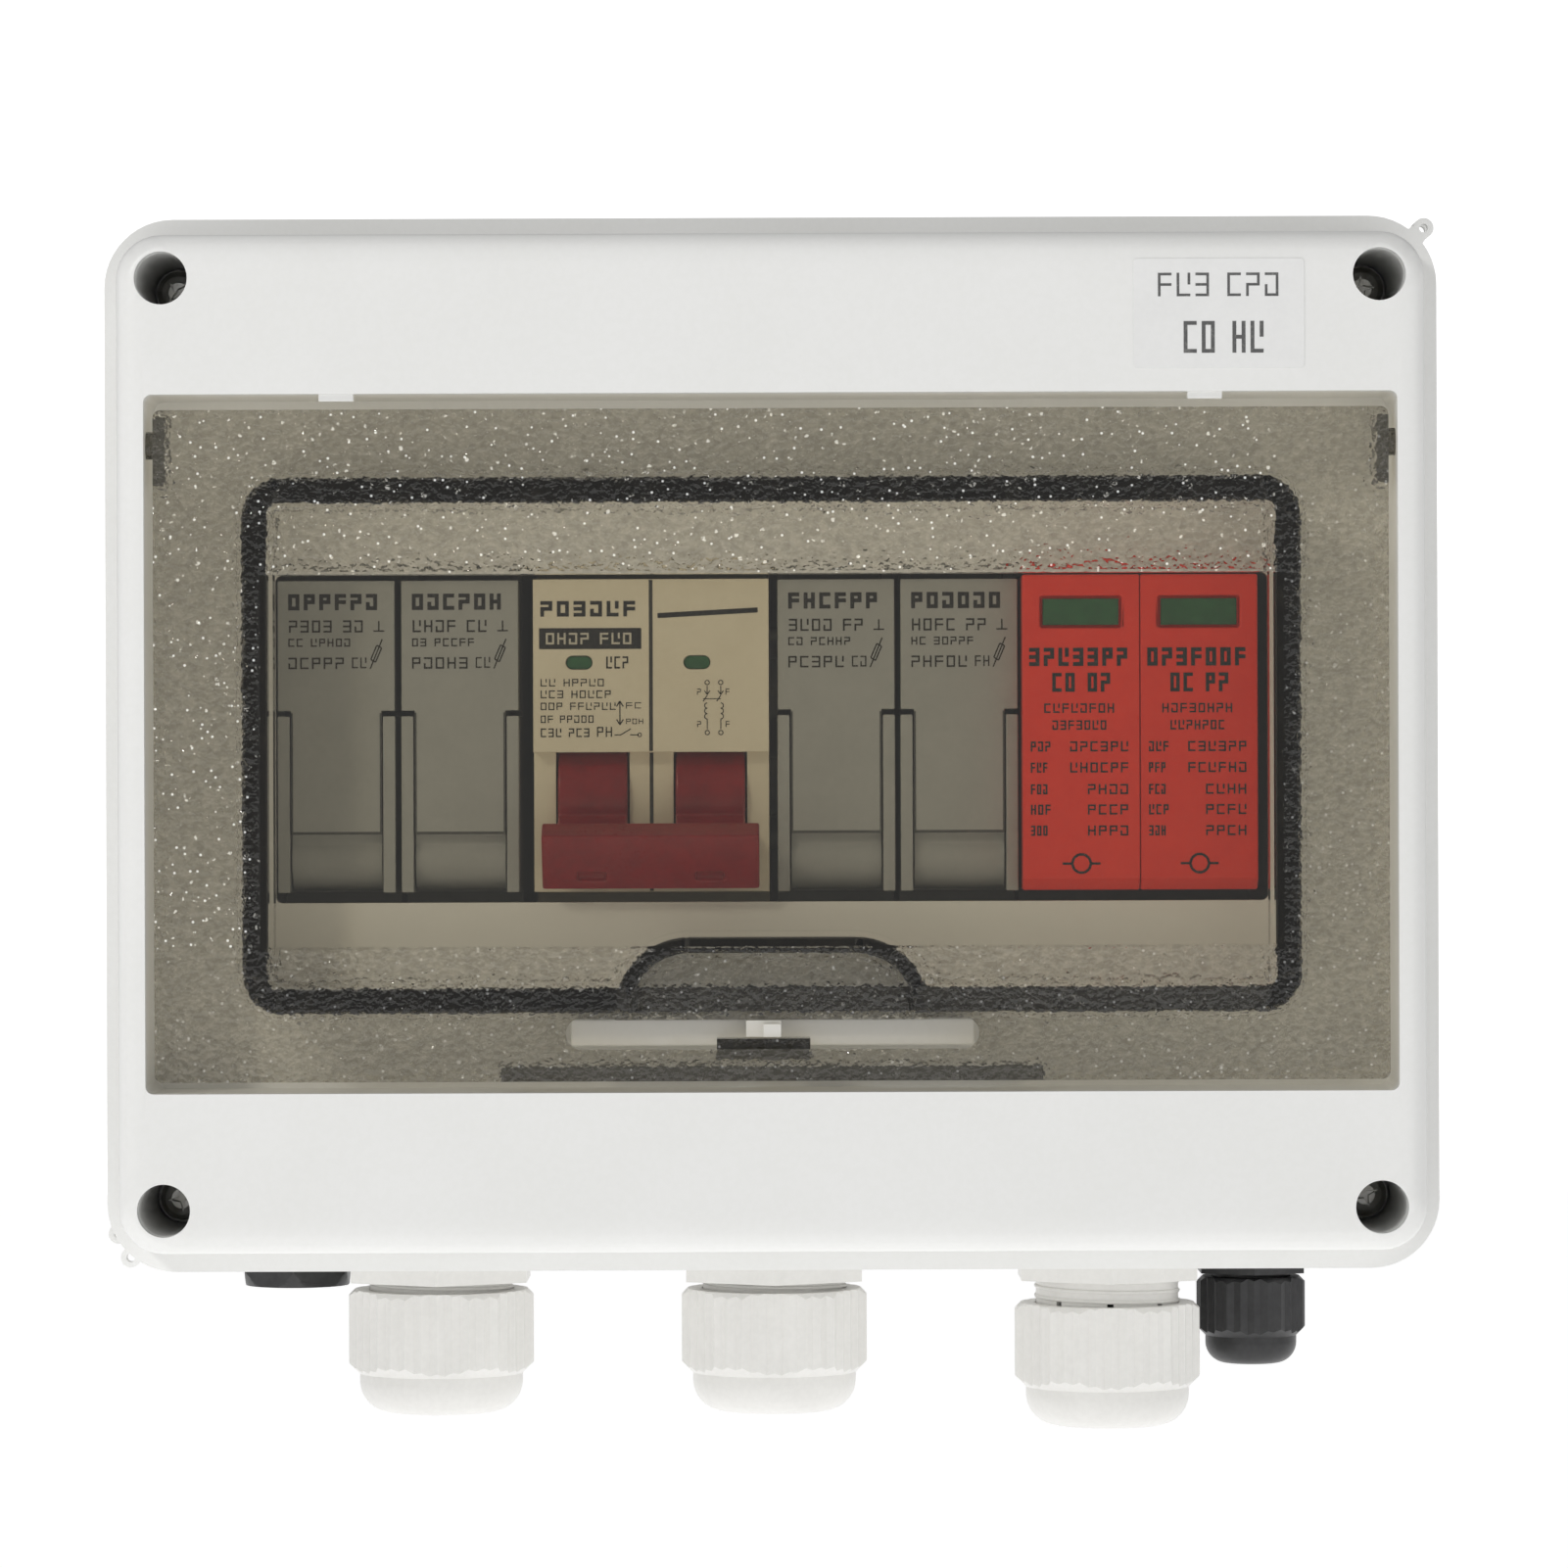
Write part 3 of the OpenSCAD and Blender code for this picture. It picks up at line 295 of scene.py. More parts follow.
@dataclass(frozen=True)
class SmokedWindow:
    """Smoked clear plastic, pebbled round a polished pane, with painted shade for the dark edge-on look of
    ears, tongue and foot rib.

    Lengths are in mm. Emission paints glints on the pebbles as painted highlights, fewest on the right and
    along the bottom.
    """

    name: str
    tint: Colour
    shade: Colour
    # Dark colour: painted shade on the edge-on ears, tongue and foot rib, and the colour the pebble mottle
    # darkens towards.
    edge: Colour = (0.05, 0.049, 0.045)
    # Colour of the painted glints that emission lays on the pebbles.
    spark: Colour = (1.0, 1.0, 0.98)
    plate_back: float = 91.25
    ear_x: float = 86.0
    foot_z: float = -42.1
    pane_x: float = 74.2
    pane_low: float = -29.4
    pane_high: float = 24.5
    pane_fade: float = 0.5
    pebble_mm: float = 0.85
    pebble_deep: float = 0.42
    ripple_mm: float = 22.0
    # Size and glow of the painted glints, and how far across they dim towards the right.
    painted_glint_mm: float = 1.5
    painted_glint_glow: float = 0.6
    glint_dim_x: float = 60.0

    def material(self) -> bpy.types.Material:
        """Build the finish."""
        recipe = Recipe(self.name)
        x, y, z = recipe.axes()
        beside = abs(x).ramp(self.pane_x * MM, (self.pane_x + self.pane_fade) * MM)
        above = z.ramp(self.pane_high * MM, (self.pane_high + self.pane_fade) * MM)
        below = 1.0 - z.ramp((self.pane_low - self.pane_fade) * MM, self.pane_low * MM)
        outside = beside.most(above).most(below)
        # Pebble mottle over the tint, which carries the painted edge-on shade.
        colour = recipe.blend(self.mottle(recipe) * outside, self.moulded(recipe, x, y, z), self.edge)
        # Painted glints: emission on scattered pebble cells, dimmed towards the right and along the bottom,
        # away from the key light.
        glint_dim = (beside * x.ramp(-self.glint_dim_x * MM, self.glint_dim_x * MM)).most(below)
        painted_glints = (1.0 - recipe.cells(self.painted_glint_mm).ramp(0.1, 0.15)) * outside * (1.0 - glint_dim * 0.7)
        glass = recipe.node("BsdfPrincipled", sockets={
            "Base Color": colour, "Roughness": 0.03, "IOR": 1.49, "Transmission Weight": 1.0,
            "Emission Color": recipe.blend(painted_glints, (0.0, 0.0, 0.0), self.spark),
            "Emission Strength": self.painted_glint_glow,
            "Normal": recipe.bump(self.relief(recipe, outside), self.pebble_deep)})
        return self.let_light_through(recipe, glass.outputs[0])

    def mottle(self, recipe: Recipe) -> Number:
        """How much each pebble darkens the tint."""
        return recipe.noise(self.pebble_mm * 1.3, 2.0).ramp(0.38, 0.62) * 0.2

    def relief(self, recipe: Recipe, outside: Number) -> Number:
        """Pebbles outside the pane over a faint ripple all over."""
        pebble = recipe.noise(self.pebble_mm, 1.0) * 0.75 + recipe.cells(self.pebble_mm * 1.3) * 0.25
        return pebble * outside + recipe.noise(self.ripple_mm, 1.0) * 0.04

    def moulded(self, recipe: Recipe, x: Number, y: Number, z: Number) -> bpy.types.NodeSocket:
        """The tint, with painted shade where ears, tongue and foot rib stand behind the plate, for their
        dark edge-on look.

        Args:
            recipe: The material.
            x: The point's X.
            y: Its Y.
            z: Its Z.

        Returns:
            The colour.
        """
        # Painted shade: dark where the ears, the tongue and the foot rib stand behind the plate.
        behind = y.ramp(-self.plate_back * MM, (0.15 - self.plate_back) * MM)
        ears = abs(x).ramp(self.ear_x * MM, (self.ear_x + 0.3) * MM)
        foot = 1.0 - z.ramp((self.foot_z - 0.3) * MM, self.foot_z * MM)
        return recipe.blend(behind * ears.most(foot), self.tint, self.edge)

    def let_light_through(self, recipe: Recipe, glass: bpy.types.NodeSocket) -> bpy.types.Material:
        """Let shadow and diffuse rays pass straight through, only shaded.

        Args:
            recipe: The material.
            glass: The shader that every other ray meets.

        Returns:
            The material.
        """
        open_way = recipe.node("BsdfTransparent", sockets={"Color": self.shade})
        path = recipe.node("LightPath")
        through = Number(recipe, path.outputs["Is Shadow Ray"]).most(
            Number(recipe, path.outputs["Is Diffuse Ray"]))
        mixed = recipe.node("MixShader", sockets={0: through, 1: glass, 2: open_way.outputs[0]})
        return recipe.finish(mixed.outputs[0])


@dataclass(frozen=True)
class SoftRubber:
    """Dull black rubber with a bloom of dust."""

    name: str
    colour: Colour
    bloom: Colour
    roughness: float = 0.62

    def material(self) -> bpy.types.Material:
        """Build the finish."""
        recipe = Recipe(self.name)
        dust = recipe.noise(3.5, 4.0, rough=0.65)
        skin = recipe.noise(0.35, 2.0)
        shader = recipe.node("BsdfPrincipled", sockets={
            "Base Color": recipe.blend(dust.ramp(0.45, 0.8), self.colour, self.bloom),
            "Roughness": dust * 0.25 + (self.roughness - 0.12),
            "Normal": recipe.bump(skin, 0.02)})
        return recipe.finish(shader.outputs[0])


@dataclass(frozen=True)
class PlatedMetal:
    """Rolled and plated metal: fine draw lines and a patchy passivated skin."""

    name: str
    colour: Colour
    stain: Colour
    roughness: float = 0.32
    lines_mm: float = 0.12

    def material(self) -> bpy.types.Material:
        """Build the finish."""
        recipe = Recipe(self.name)
        patch = recipe.noise(5.0, 4.0, rough=0.6)
        lines = recipe.noise(self.lines_mm, 2.0, (0.03, 1.0, 1.0))
        shader = recipe.node("BsdfPrincipled", sockets={
            "Base Color": recipe.blend(patch.ramp(0.35, 0.7), self.colour, self.stain),
            "Metallic": 1.0,
            "Roughness": patch * 0.2 + lines * 0.12 + (self.roughness - 0.16),
            "Normal": recipe.bump(lines, 0.004)})
        return recipe.finish(shader.outputs[0])


@dataclass(frozen=True)
class FiredCeramic:
    """Matt glazed ceramic between two bright ferrules."""

    name: str
    colour: Colour
    metal: Colour
    middle_z: float = 3.5
    ferrule_from: float = 9.0

    def material(self) -> bpy.types.Material:
        """Build the finish."""
        recipe = Recipe(self.name)
        _, _, z = recipe.axes()
        capped = abs(z - self.middle_z * MM).ramp(self.ferrule_from * MM, (self.ferrule_from + 0.02) * MM)
        cloud = recipe.noise(2.5, 3.0)
        shader = recipe.node("BsdfPrincipled", sockets={
            "Base Color": recipe.blend(capped, self.colour, self.metal),
            "Metallic": capped,
            "Roughness": 0.55 - capped * 0.3 + (cloud - 0.5) * 0.15,
            "Normal": recipe.bump(cloud, 0.02)})
        return recipe.finish(shader.outputs[0])


@dataclass(frozen=True)
class PrintInk:
    """Pad-printed ink, a little thin and broken at this size."""

    name: str
    colour: Colour
    worn: Colour
    roughness: float = 0.5

    def material(self) -> bpy.types.Material:
        """Build the finish."""
        recipe = Recipe(self.name)
        thin = recipe.noise(0.45, 2.0)
        shader = recipe.node("BsdfPrincipled", sockets={
            "Base Color": recipe.blend(thin.ramp(0.5, 0.8), self.colour, self.worn),
            "Roughness": thin * 0.2 + (self.roughness - 0.1),
            "Normal": recipe.bump(thin, 0.004)})
        return recipe.finish(shader.outputs[0])


class Slot(Enum):
    """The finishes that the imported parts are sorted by."""

    SHELL = "shell_white"
    WINDOW = "smoke_window"
    RUBBER = "rubber_black"
    LABEL = "label_white"
    ZINC = "zinc_steel"
    CLIP = "clip_black"
    HOLDER = "holder_grey"
    FUSE = "fuse_ceramic"
    CONTACT = "contact_copper"
    BREAKER = "breaker_cream"
    LEVER = "lever_red"
    FLAG = "flag_green"
    SURGE_BASE = "surge_grey"
    SURGE = "surge_red"
    BUS_PLUS = "bus_red"
    BUS_MINUS = "bus_black"
    GLAND_WHITE = "gland_white"
    GLAND_BLACK = "gland_black"


FINISHES = {
    Slot.SHELL: MouldedPlastic("shell_plastic", (0.87, 0.87, 0.855), (0.845, 0.845, 0.825), 0.36, 0.1,
                               0.5, 0.003, 24.0),
    Slot.WINDOW: SmokedWindow("smoked_window", (0.66, 0.63, 0.555), (0.86, 0.835, 0.775)),
    Slot.RUBBER: SoftRubber("seal_rubber", (0.010, 0.010, 0.010), (0.028, 0.027, 0.025)),
    Slot.LABEL: MouldedPlastic("label_film", (0.86, 0.86, 0.85), (0.83, 0.83, 0.82), 0.22, 0.06, 0.6,
                               0.002, 5.0),
    Slot.ZINC: PlatedMetal("zinc_plate", (0.70, 0.70, 0.68), (0.55, 0.53, 0.47)),
    Slot.CLIP: MouldedPlastic("clip_nylon", (0.016, 0.016, 0.017), (0.03, 0.03, 0.03), 0.45),
    Slot.HOLDER: MouldedPlastic("holder_plastic", (0.40, 0.41, 0.40), (0.37, 0.38, 0.37), 0.48, 0.12, 0.3,
                                0.008, 6.0),
    Slot.FUSE: FiredCeramic("fuse_ceramic", (0.74, 0.71, 0.62), (0.78, 0.75, 0.68)),
    Slot.CONTACT: PlatedMetal("spring_copper", (0.80, 0.46, 0.30), (0.56, 0.30, 0.18)),
    Slot.BREAKER: MouldedPlastic("breaker_plastic", (0.80, 0.74, 0.60), (0.76, 0.70, 0.56), 0.45, 0.12,
                                 0.3, 0.008, 6.0),
    Slot.LEVER: MouldedPlastic("lever_plastic", (0.30, 0.010, 0.016), (0.22, 0.007, 0.012), 0.3, 0.1, 0.4,
                               0.004, 4.0),
    Slot.FLAG: MouldedPlastic("flag_plastic", (0.035, 0.15, 0.06), (0.025, 0.11, 0.045), 0.4, 0.1, 0.4,
                              0.004, 2.0),
    Slot.SURGE_BASE: MouldedPlastic("surge_base_plastic", (0.30, 0.31, 0.31), (0.27, 0.28, 0.28), 0.5),
    Slot.SURGE: MouldedPlastic("cartridge_plastic", (0.93, 0.045, 0.018), (0.86, 0.035, 0.014), 0.4, 0.1,
                               0.3, 0.006, 6.0),
    Slot.BUS_PLUS: MouldedPlastic("plus_sleeve", (0.60, 0.03, 0.02), (0.48, 0.02, 0.015), 0.35),
    Slot.BUS_MINUS: MouldedPlastic("minus_sleeve", (0.016, 0.016, 0.017), (0.03, 0.03, 0.03), 0.35),
    Slot.GLAND_WHITE: MouldedPlastic("gland_nylon", (0.86, 0.85, 0.82), (0.81, 0.80, 0.77), 0.33, 0.1,
                                     0.4, 0.004, 7.0),
    Slot.GLAND_BLACK: MouldedPlastic("black_nylon", (0.020, 0.020, 0.021), (0.034, 0.034, 0.035), 0.38,
                                     0.12, 0.4, 0.006, 4.0),
}

INK_BLACK = PrintInk("ink_black", (0.012, 0.012, 0.014), (0.05, 0.05, 0.05))
INK_GREY = PrintInk("ink_grey", (0.10, 0.10, 0.10), (0.20, 0.20, 0.19))
SEAM = PrintInk("seam_shade", (0.035, 0.034, 0.032), (0.06, 0.058, 0.055), 0.7)
# Painted shade for the grooves round the fuse holders' finger flaps and the shadow under them.
FLAP_SHADE = PrintInk("flap_shade", (0.07, 0.072, 0.07), (0.11, 0.112, 0.11), 0.6)
INK_PALE = PrintInk("ink_pale", (0.62, 0.59, 0.50), (0.50, 0.47, 0.40))


class Shelf:
    """Every material, built once and kept by its finish's name."""

    def __init__(self) -> None:
        """Start with none."""
        self.made: dict[str, bpy.types.Material] = {}

    def take(self, finish: Any) -> bpy.types.Material:
        """The material of a finish, built the first time it is asked for."""
        if finish.name not in self.made:
            self.made[finish.name] = finish.material()
        return self.made[finish.name]


SHELF = Shelf()


# ---------------------------------------------------------------------------------------------
# Mesh tools
# ---------------------------------------------------------------------------------------------

def slot_of(node: str) -> Slot:
    """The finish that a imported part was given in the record."""
    return Slot(frame["nodes"][node].material_slots[0].material.name.split(".")[0])


def body_of(node: str) -> str:
    """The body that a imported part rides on."""
    return frame["nodes"][node]["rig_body"]


def soften(node: str, round_mm: float = 0.25, steps: int = 2, merge: bool = True) -> None:
    """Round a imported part's edges and even its shading, by modifiers alone.

    Args:
        node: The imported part.
        round_mm: Width of the rounding; 0 leaves the edges sharp.
        steps: Faces across each rounding.
        merge: Whether faces in one plane are joined first; not where a ring lies in the plane.
    """
    thing = frame["nodes"][node]
    weld = thing.modifiers.new("weld", "WELD")
    weld.merge_threshold = 0.002 * MM
    if merge:
        flat = thing.modifiers.new("one_face", "DECIMATE")
        flat.decimate_type = "DISSOLVE"
        flat.angle_limit = math.radians(0.6)
    if round_mm:
        bevel = thing.modifiers.new("round", "BEVEL")
        bevel.width = round_mm * MM
        bevel.segments = steps
        bevel.limit_method = "ANGLE"
        bevel.angle_limit = math.radians(35)
        bevel.miter_outer = "MITER_ARC"
        bevel.use_clamp_overlap = True
        bevel.harden_normals = False
    even = thing.modifiers.new("even", "WEIGHTED_NORMAL")
    even.keep_sharp = False


def dress(node: str, round_mm: float | None = 0.25, steps: int = 2, merge: bool = True) -> None:
    """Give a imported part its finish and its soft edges.

    Args:
        node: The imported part.
        round_mm: Width of the edge rounding, or None to keep the part's own shading.
        steps: Faces across each rounding.
        merge: Whether faces in one plane are joined first.
    """
    material = SHELF.take(FINISHES[slot_of(node)])
    for held in frame["nodes"][node].material_slots:
        held.material = material
    if round_mm is not None:
        soften(node, round_mm, steps, merge)


def add_piece(name: str, bm: bmesh.types.BMesh, finish: Any, body: str,
              smooth: bool = False) -> bpy.types.Object:
    """Make a mesh into a piece that rides on a body.

    Args:
        name: The piece's name.
        bm: Its mesh, which is used up.
        finish: What it is made of or printed with.
        body: The body it rides on.
        smooth: Whether its faces are shaded as one.

    Returns:
        The piece.
    """
    mesh = bpy.data.meshes.new(name)
    bmesh.ops.recalc_face_normals(bm, faces=bm.faces)
    bm.to_mesh(mesh)
    bm.free()
    for face in mesh.polygons:
        face.use_smooth = smooth
    return place_mesh(name, mesh, finish, body)


def place_mesh(name: str, mesh: bpy.types.Mesh, finish: Any, body: str,
               ) -> bpy.types.Object:
    """Put a finished mesh in the scene on its body.

    Args:
        name: The piece's name.
        mesh: The mesh, already in the shared frame.
        finish: Its finish.
        body: The body it rides on.

    Returns:
        The piece.
    """
    mesh.materials.clear()
    mesh.materials.append(SHELF.take(finish))
    piece = bpy.data.objects.new(name, mesh)
    bpy.context.scene.collection.objects.link(piece)
    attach(piece, body)
    return piece


@dataclass(frozen=True)
class Line:
    """A row of print: how far in from a part's left and right edges, its heights and its words."""

    left: float
    right: float
    low: float
    high: float
    bold: float
    words: tuple[int, ...]


class FacePrint:
    """Ink on a face that looks forward, built from thin closed tablets."""

    FILM = 0.03
    ROOT = 0.03
    WORD_GAP = 0.7
    MARK_W = 0.72

    def __init__(self, depth: float, seed: int) -> None:
        """Start an empty print.

        Args:
            depth: Depth of the printed face from the wall, in mm.
            seed: Seed of the stroke patterns.
        """
        self.bm = bmesh.new()
        self.depth = depth
        self.random = Random(seed)

    def outline(self, points: Sequence[tuple[float, float]], film: float | None = None) -> None:
        """A closed outline, raised by the thickness of the film.

        Args:
            points: X and Z in mm, in order round the outline.
            film: How far it stands off the face.
        """
        top = self.depth + (self.FILM if film is None else film)
        low = [self.bm.verts.new(Vector((x, -(self.depth - self.ROOT), z)) * MM) for x, z in points]
        high = [self.bm.verts.new(Vector((x, -top, z)) * MM) for x, z in points]
        self.bm.faces.new(low)
        self.bm.faces.new(reversed(high))
        for i, _ in enumerate(points):
            j = (i + 1) % len(points)
            self.bm.faces.new((low[j], low[i], high[i], high[j]))

    def bar(self, x0: float, x1: float, z0: float, z1: float, film: float | None = None) -> None:
        """An upright rectangle between two X and two Z."""
        self.outline([(x0, z0), (x1, z0), (x1, z1), (x0, z1)], film)

    def stroke(self, a: tuple[float, float], b: tuple[float, float], thick: float) -> None:
        """A straight stroke between two points.

        Args:
            a: Its start, X and Z.
            b: Its end.
            thick: Its width.
        """
        along = Vector((b[0] - a[0], b[1] - a[1])).normalized() * thick / 2
        side = Vector((-along.y, along.x))
        self.outline([(a[0] - side.x, a[1] - side.y), (b[0] - side.x, b[1] - side.y),
                      (b[0] + side.x, b[1] + side.y), (a[0] + side.x, a[1] + side.y)])

    def ring(self, x: float, z: float, radius: float, thick: float, start: float = 0.0,
             turn: float = 360.0) -> None:
        """A ring or an arc of short strokes.

        Args:
            x: Centre.
            z: Centre.
            radius: To the middle of the line.
            thick: Width of the line.
            start: Where the arc starts, in degrees.
            turn: How far it goes round.
        """
        count = max(4, round(turn / 36))
        ends = [math.radians(start + turn * k / count) for k in range(count + 1)]
        for a, b in zip(ends, ends[1:]):
            self.stroke((x + radius * math.cos(a), z + radius * math.sin(a)),
                        (x + radius * math.cos(b), z + radius * math.sin(b)), thick)

    def mark(self, x: float, z: float, wide: float, high: float, thick: float) -> None:
        """One made-up character: a few strokes of a plain grid, never a real letter on purpose.

        Args:
            x: Left edge.
            z: Lower edge.
            wide: Width.
            high: Height.
            thick: Width of the strokes.
        """
        strokes = [
            (x, x + thick, z, z + high), (x + wide - thick, x + wide, z, z + high),
            (x, x + wide, z + high - thick, z + high), (x, x + wide, z, z + thick),
            (x, x + wide, z + (high - thick) / 2, z + (high + thick) / 2),
            (x, x + thick, z, z + high / 2), (x + wide - thick, x + wide, z + high / 2, z + high),
        ]
        for k in self.random.choice(((0, 2, 3), (0, 4, 1), (0, 3, 1, 2), (5, 2, 3, 1), (0, 2, 4), (6, 3, 0),
                                     (0, 2, 6, 4), (5, 4, 6, 2), (2, 1, 4, 3))):
            self.bar(*strokes[k], film=self.FILM + 0.001 * k)

    def row(self, x0: float, x1: float, z0: float, z1: float, bold: float = 0.16,
            words: Sequence[int] = (8,)) -> None:
        """A row of made-up characters that fills a box.

        Args:
            x0: Left edge.
            x1: Right edge.
            z0: Lower edge.
            z1: Upper edge.
            bold: Width of a stroke against the height of a character.
            words: How many characters each word has.
        """
        cells = sum(words) + self.WORD_GAP * (len(words) - 1)
        step = (x1 - x0) / cells
        at = x0
        for count in words:
            for _ in range(count):
                self.mark(at, z0, step * self.MARK_W, z1 - z0, min(bold * (z1 - z0), step * 0.3))
                at += step
            at += self.WORD_GAP * step

    def lines(self, left: float, right: float, lines: Iterable[Line]) -> None:
        """Several rows on one part.

        Args:
            left: The part's left edge.
            right: The part's right edge.
            lines: The rows, from the first to be drawn to the last.
        """
        for line in lines:
            self.row(left + line.left, right - line.right, line.low, line.high, line.bold, line.words)


def open_tree(name: str, inputs: dict[str, str]) -> tuple[bpy.types.NodeTree, bpy.types.Node]:
    """Start a tree that takes points and a material and gives geometry.

    Args:
        name: The tree's name.
        inputs: The kind of each other input by its name, such as Float or Int.

    Returns:
        The tree and its input node.
    """
    tree = bpy.data.node_groups.new(name, "GeometryNodeTree")
    face = tree.interface
    for label, kind in {"Geometry": "Geometry", **inputs, "Material": "Material"}.items():
        face.new_socket(label, in_out="INPUT", socket_type="NodeSocket" + kind)
    face.new_socket("Geometry", in_out="OUTPUT", socket_type="NodeSocketGeometry")
    return tree, tree.nodes.new("NodeGroupInput")


def thread_tree() -> bpy.types.NodeTree:
    """Node tree that winds a screw thread below each point it is given.

    Returns:
        The tree, with Radius, Pitch, Length, Crest and Material as inputs.
    """
    tree, given = open_tree("wound_thread", dict.fromkeys(("Radius", "Pitch", "Length", "Crest"), "Float"))
    new, link = tree.nodes.new, tree.links.new
    turns = new("ShaderNodeMath")
    turns.operation = "DIVIDE"
    link(given.outputs["Length"], turns.inputs[0])
    link(given.outputs["Pitch"], turns.inputs[1])
    wind = new("GeometryNodeCurveSpiral")
    wind.inputs["Resolution"].default_value = 48
    link(turns.outputs[0], wind.inputs["Rotations"])
    link(given.outputs["Radius"], wind.inputs["Start Radius"])
    link(given.outputs["Radius"], wind.inputs["End Radius"])
    link(given.outputs["Length"], wind.inputs["Height"])
    ridge = new("GeometryNodeCurvePrimitiveCircle")
    ridge.inputs["Resolution"].default_value = 6
    link(given.outputs["Crest"], ridge.inputs["Radius"])
    sweep = new("GeometryNodeCurveToMesh")
    sweep.inputs["Fill Caps"].default_value = True
    link(wind.outputs[0], sweep.inputs["Curve"])
    link(ridge.outputs[0], sweep.inputs["Profile Curve"])
    spread = new("GeometryNodeInstanceOnPoints")
    link(given.outputs["Geometry"], spread.inputs["Points"])
    link(sweep.outputs[0], spread.inputs["Instance"])
    finish_tree(tree, given, spread.outputs[0])
    return tree


def finish_tree(tree: bpy.types.NodeTree, given: bpy.types.Node, made: bpy.types.NodeSocket) -> None:
    """End a tree with real geometry in one material.

    Args:
        tree: The tree.
        given: Its input node, which has a Material.
        made: The instances it made.
    """
    real = tree.nodes.new("GeometryNodeRealizeInstances")
    tree.links.new(made, real.inputs[0])
    coat = tree.nodes.new("GeometryNodeSetMaterial")
    tree.links.new(real.outputs[0], coat.inputs[0])
    tree.links.new(given.outputs["Material"], coat.inputs["Material"])
    out = tree.nodes.new("NodeGroupOutput")
    tree.links.new(coat.outputs[0], out.inputs[0])


def head_tree(head: bpy.types.Object) -> bpy.types.NodeTree:
    """Node tree that sets one screw head on each point, each turned its own way.

    Args:
        head: The head, drawn at the origin.

    Returns:
        The tree, with Seed and Material as inputs.
    """
    tree, given = open_tree("set_heads", {"Seed": "Int"})
    new, link = tree.nodes.new, tree.links.new
    turn = new("FunctionNodeRandomValue")
    turn.data_type = "FLOAT"
    low, high = [s for s in turn.inputs if s.type == "VALUE" and s.name in ("Min", "Max")][:2]
    low.default_value = 0.0
    high.default_value = math.pi
    link(given.outputs["Seed"], turn.inputs["Seed"])
    lean = new("ShaderNodeCombineXYZ")
    link(next(s for s in turn.outputs if s.type == "VALUE"), lean.inputs["Y"])
    source = new("GeometryNodeObjectInfo")
    source.inputs["Object"].default_value = head
    spread = new("GeometryNodeInstanceOnPoints")
    link(given.outputs["Geometry"], spread.inputs["Points"])
    link(source.outputs["Geometry"], spread.inputs["Instance"])
    link(lean.outputs[0], spread.inputs["Rotation"])
    finish_tree(tree, given, spread.outputs[0])
    return tree


def grow(name: str, points: Iterable[tuple[float, float, float]], tree: bpy.types.NodeTree,
         sizes: dict[str, Any], finish: Any) -> bpy.types.Mesh:
    """Run a tree on points and keep the result as a plain mesh.

    Args:
        name: The mesh's name.
        points: X, depth and Z of each point, in mm.
        tree: The node tree.
        sizes: Values of its inputs by name; lengths are in metres.
        finish: Its finish.

    Returns:
        The mesh.
    """
    seeds = bpy.data.meshes.new(name + "_points")
    seeds.from_pydata([Vector((x, -d, z)) * MM for x, d, z in points], [], [])
    holder = bpy.data.objects.new(name + "_holder", seeds)
    bpy.context.scene.collection.objects.link(holder)
    run = holder.modifiers.new("grow", "NODES")
    run.node_group = tree
    for socket in tree.interface.items_tree:
        if socket.in_out == "INPUT" and socket.name in sizes:
            run[socket.identifier] = sizes[socket.name]
        elif socket.in_out == "INPUT" and socket.name == "Material":
            run[socket.identifier] = SHELF.take(finish)
    shaped = holder.evaluated_get(bpy.context.evaluated_depsgraph_get())
    mesh = bpy.data.meshes.new_from_object(shaped)
    mesh.name = name
    bpy.data.objects.remove(holder)
    return mesh


# ---------------------------------------------------------------------------------------------
# Enclosure and door
# ---------------------------------------------------------------------------------------------

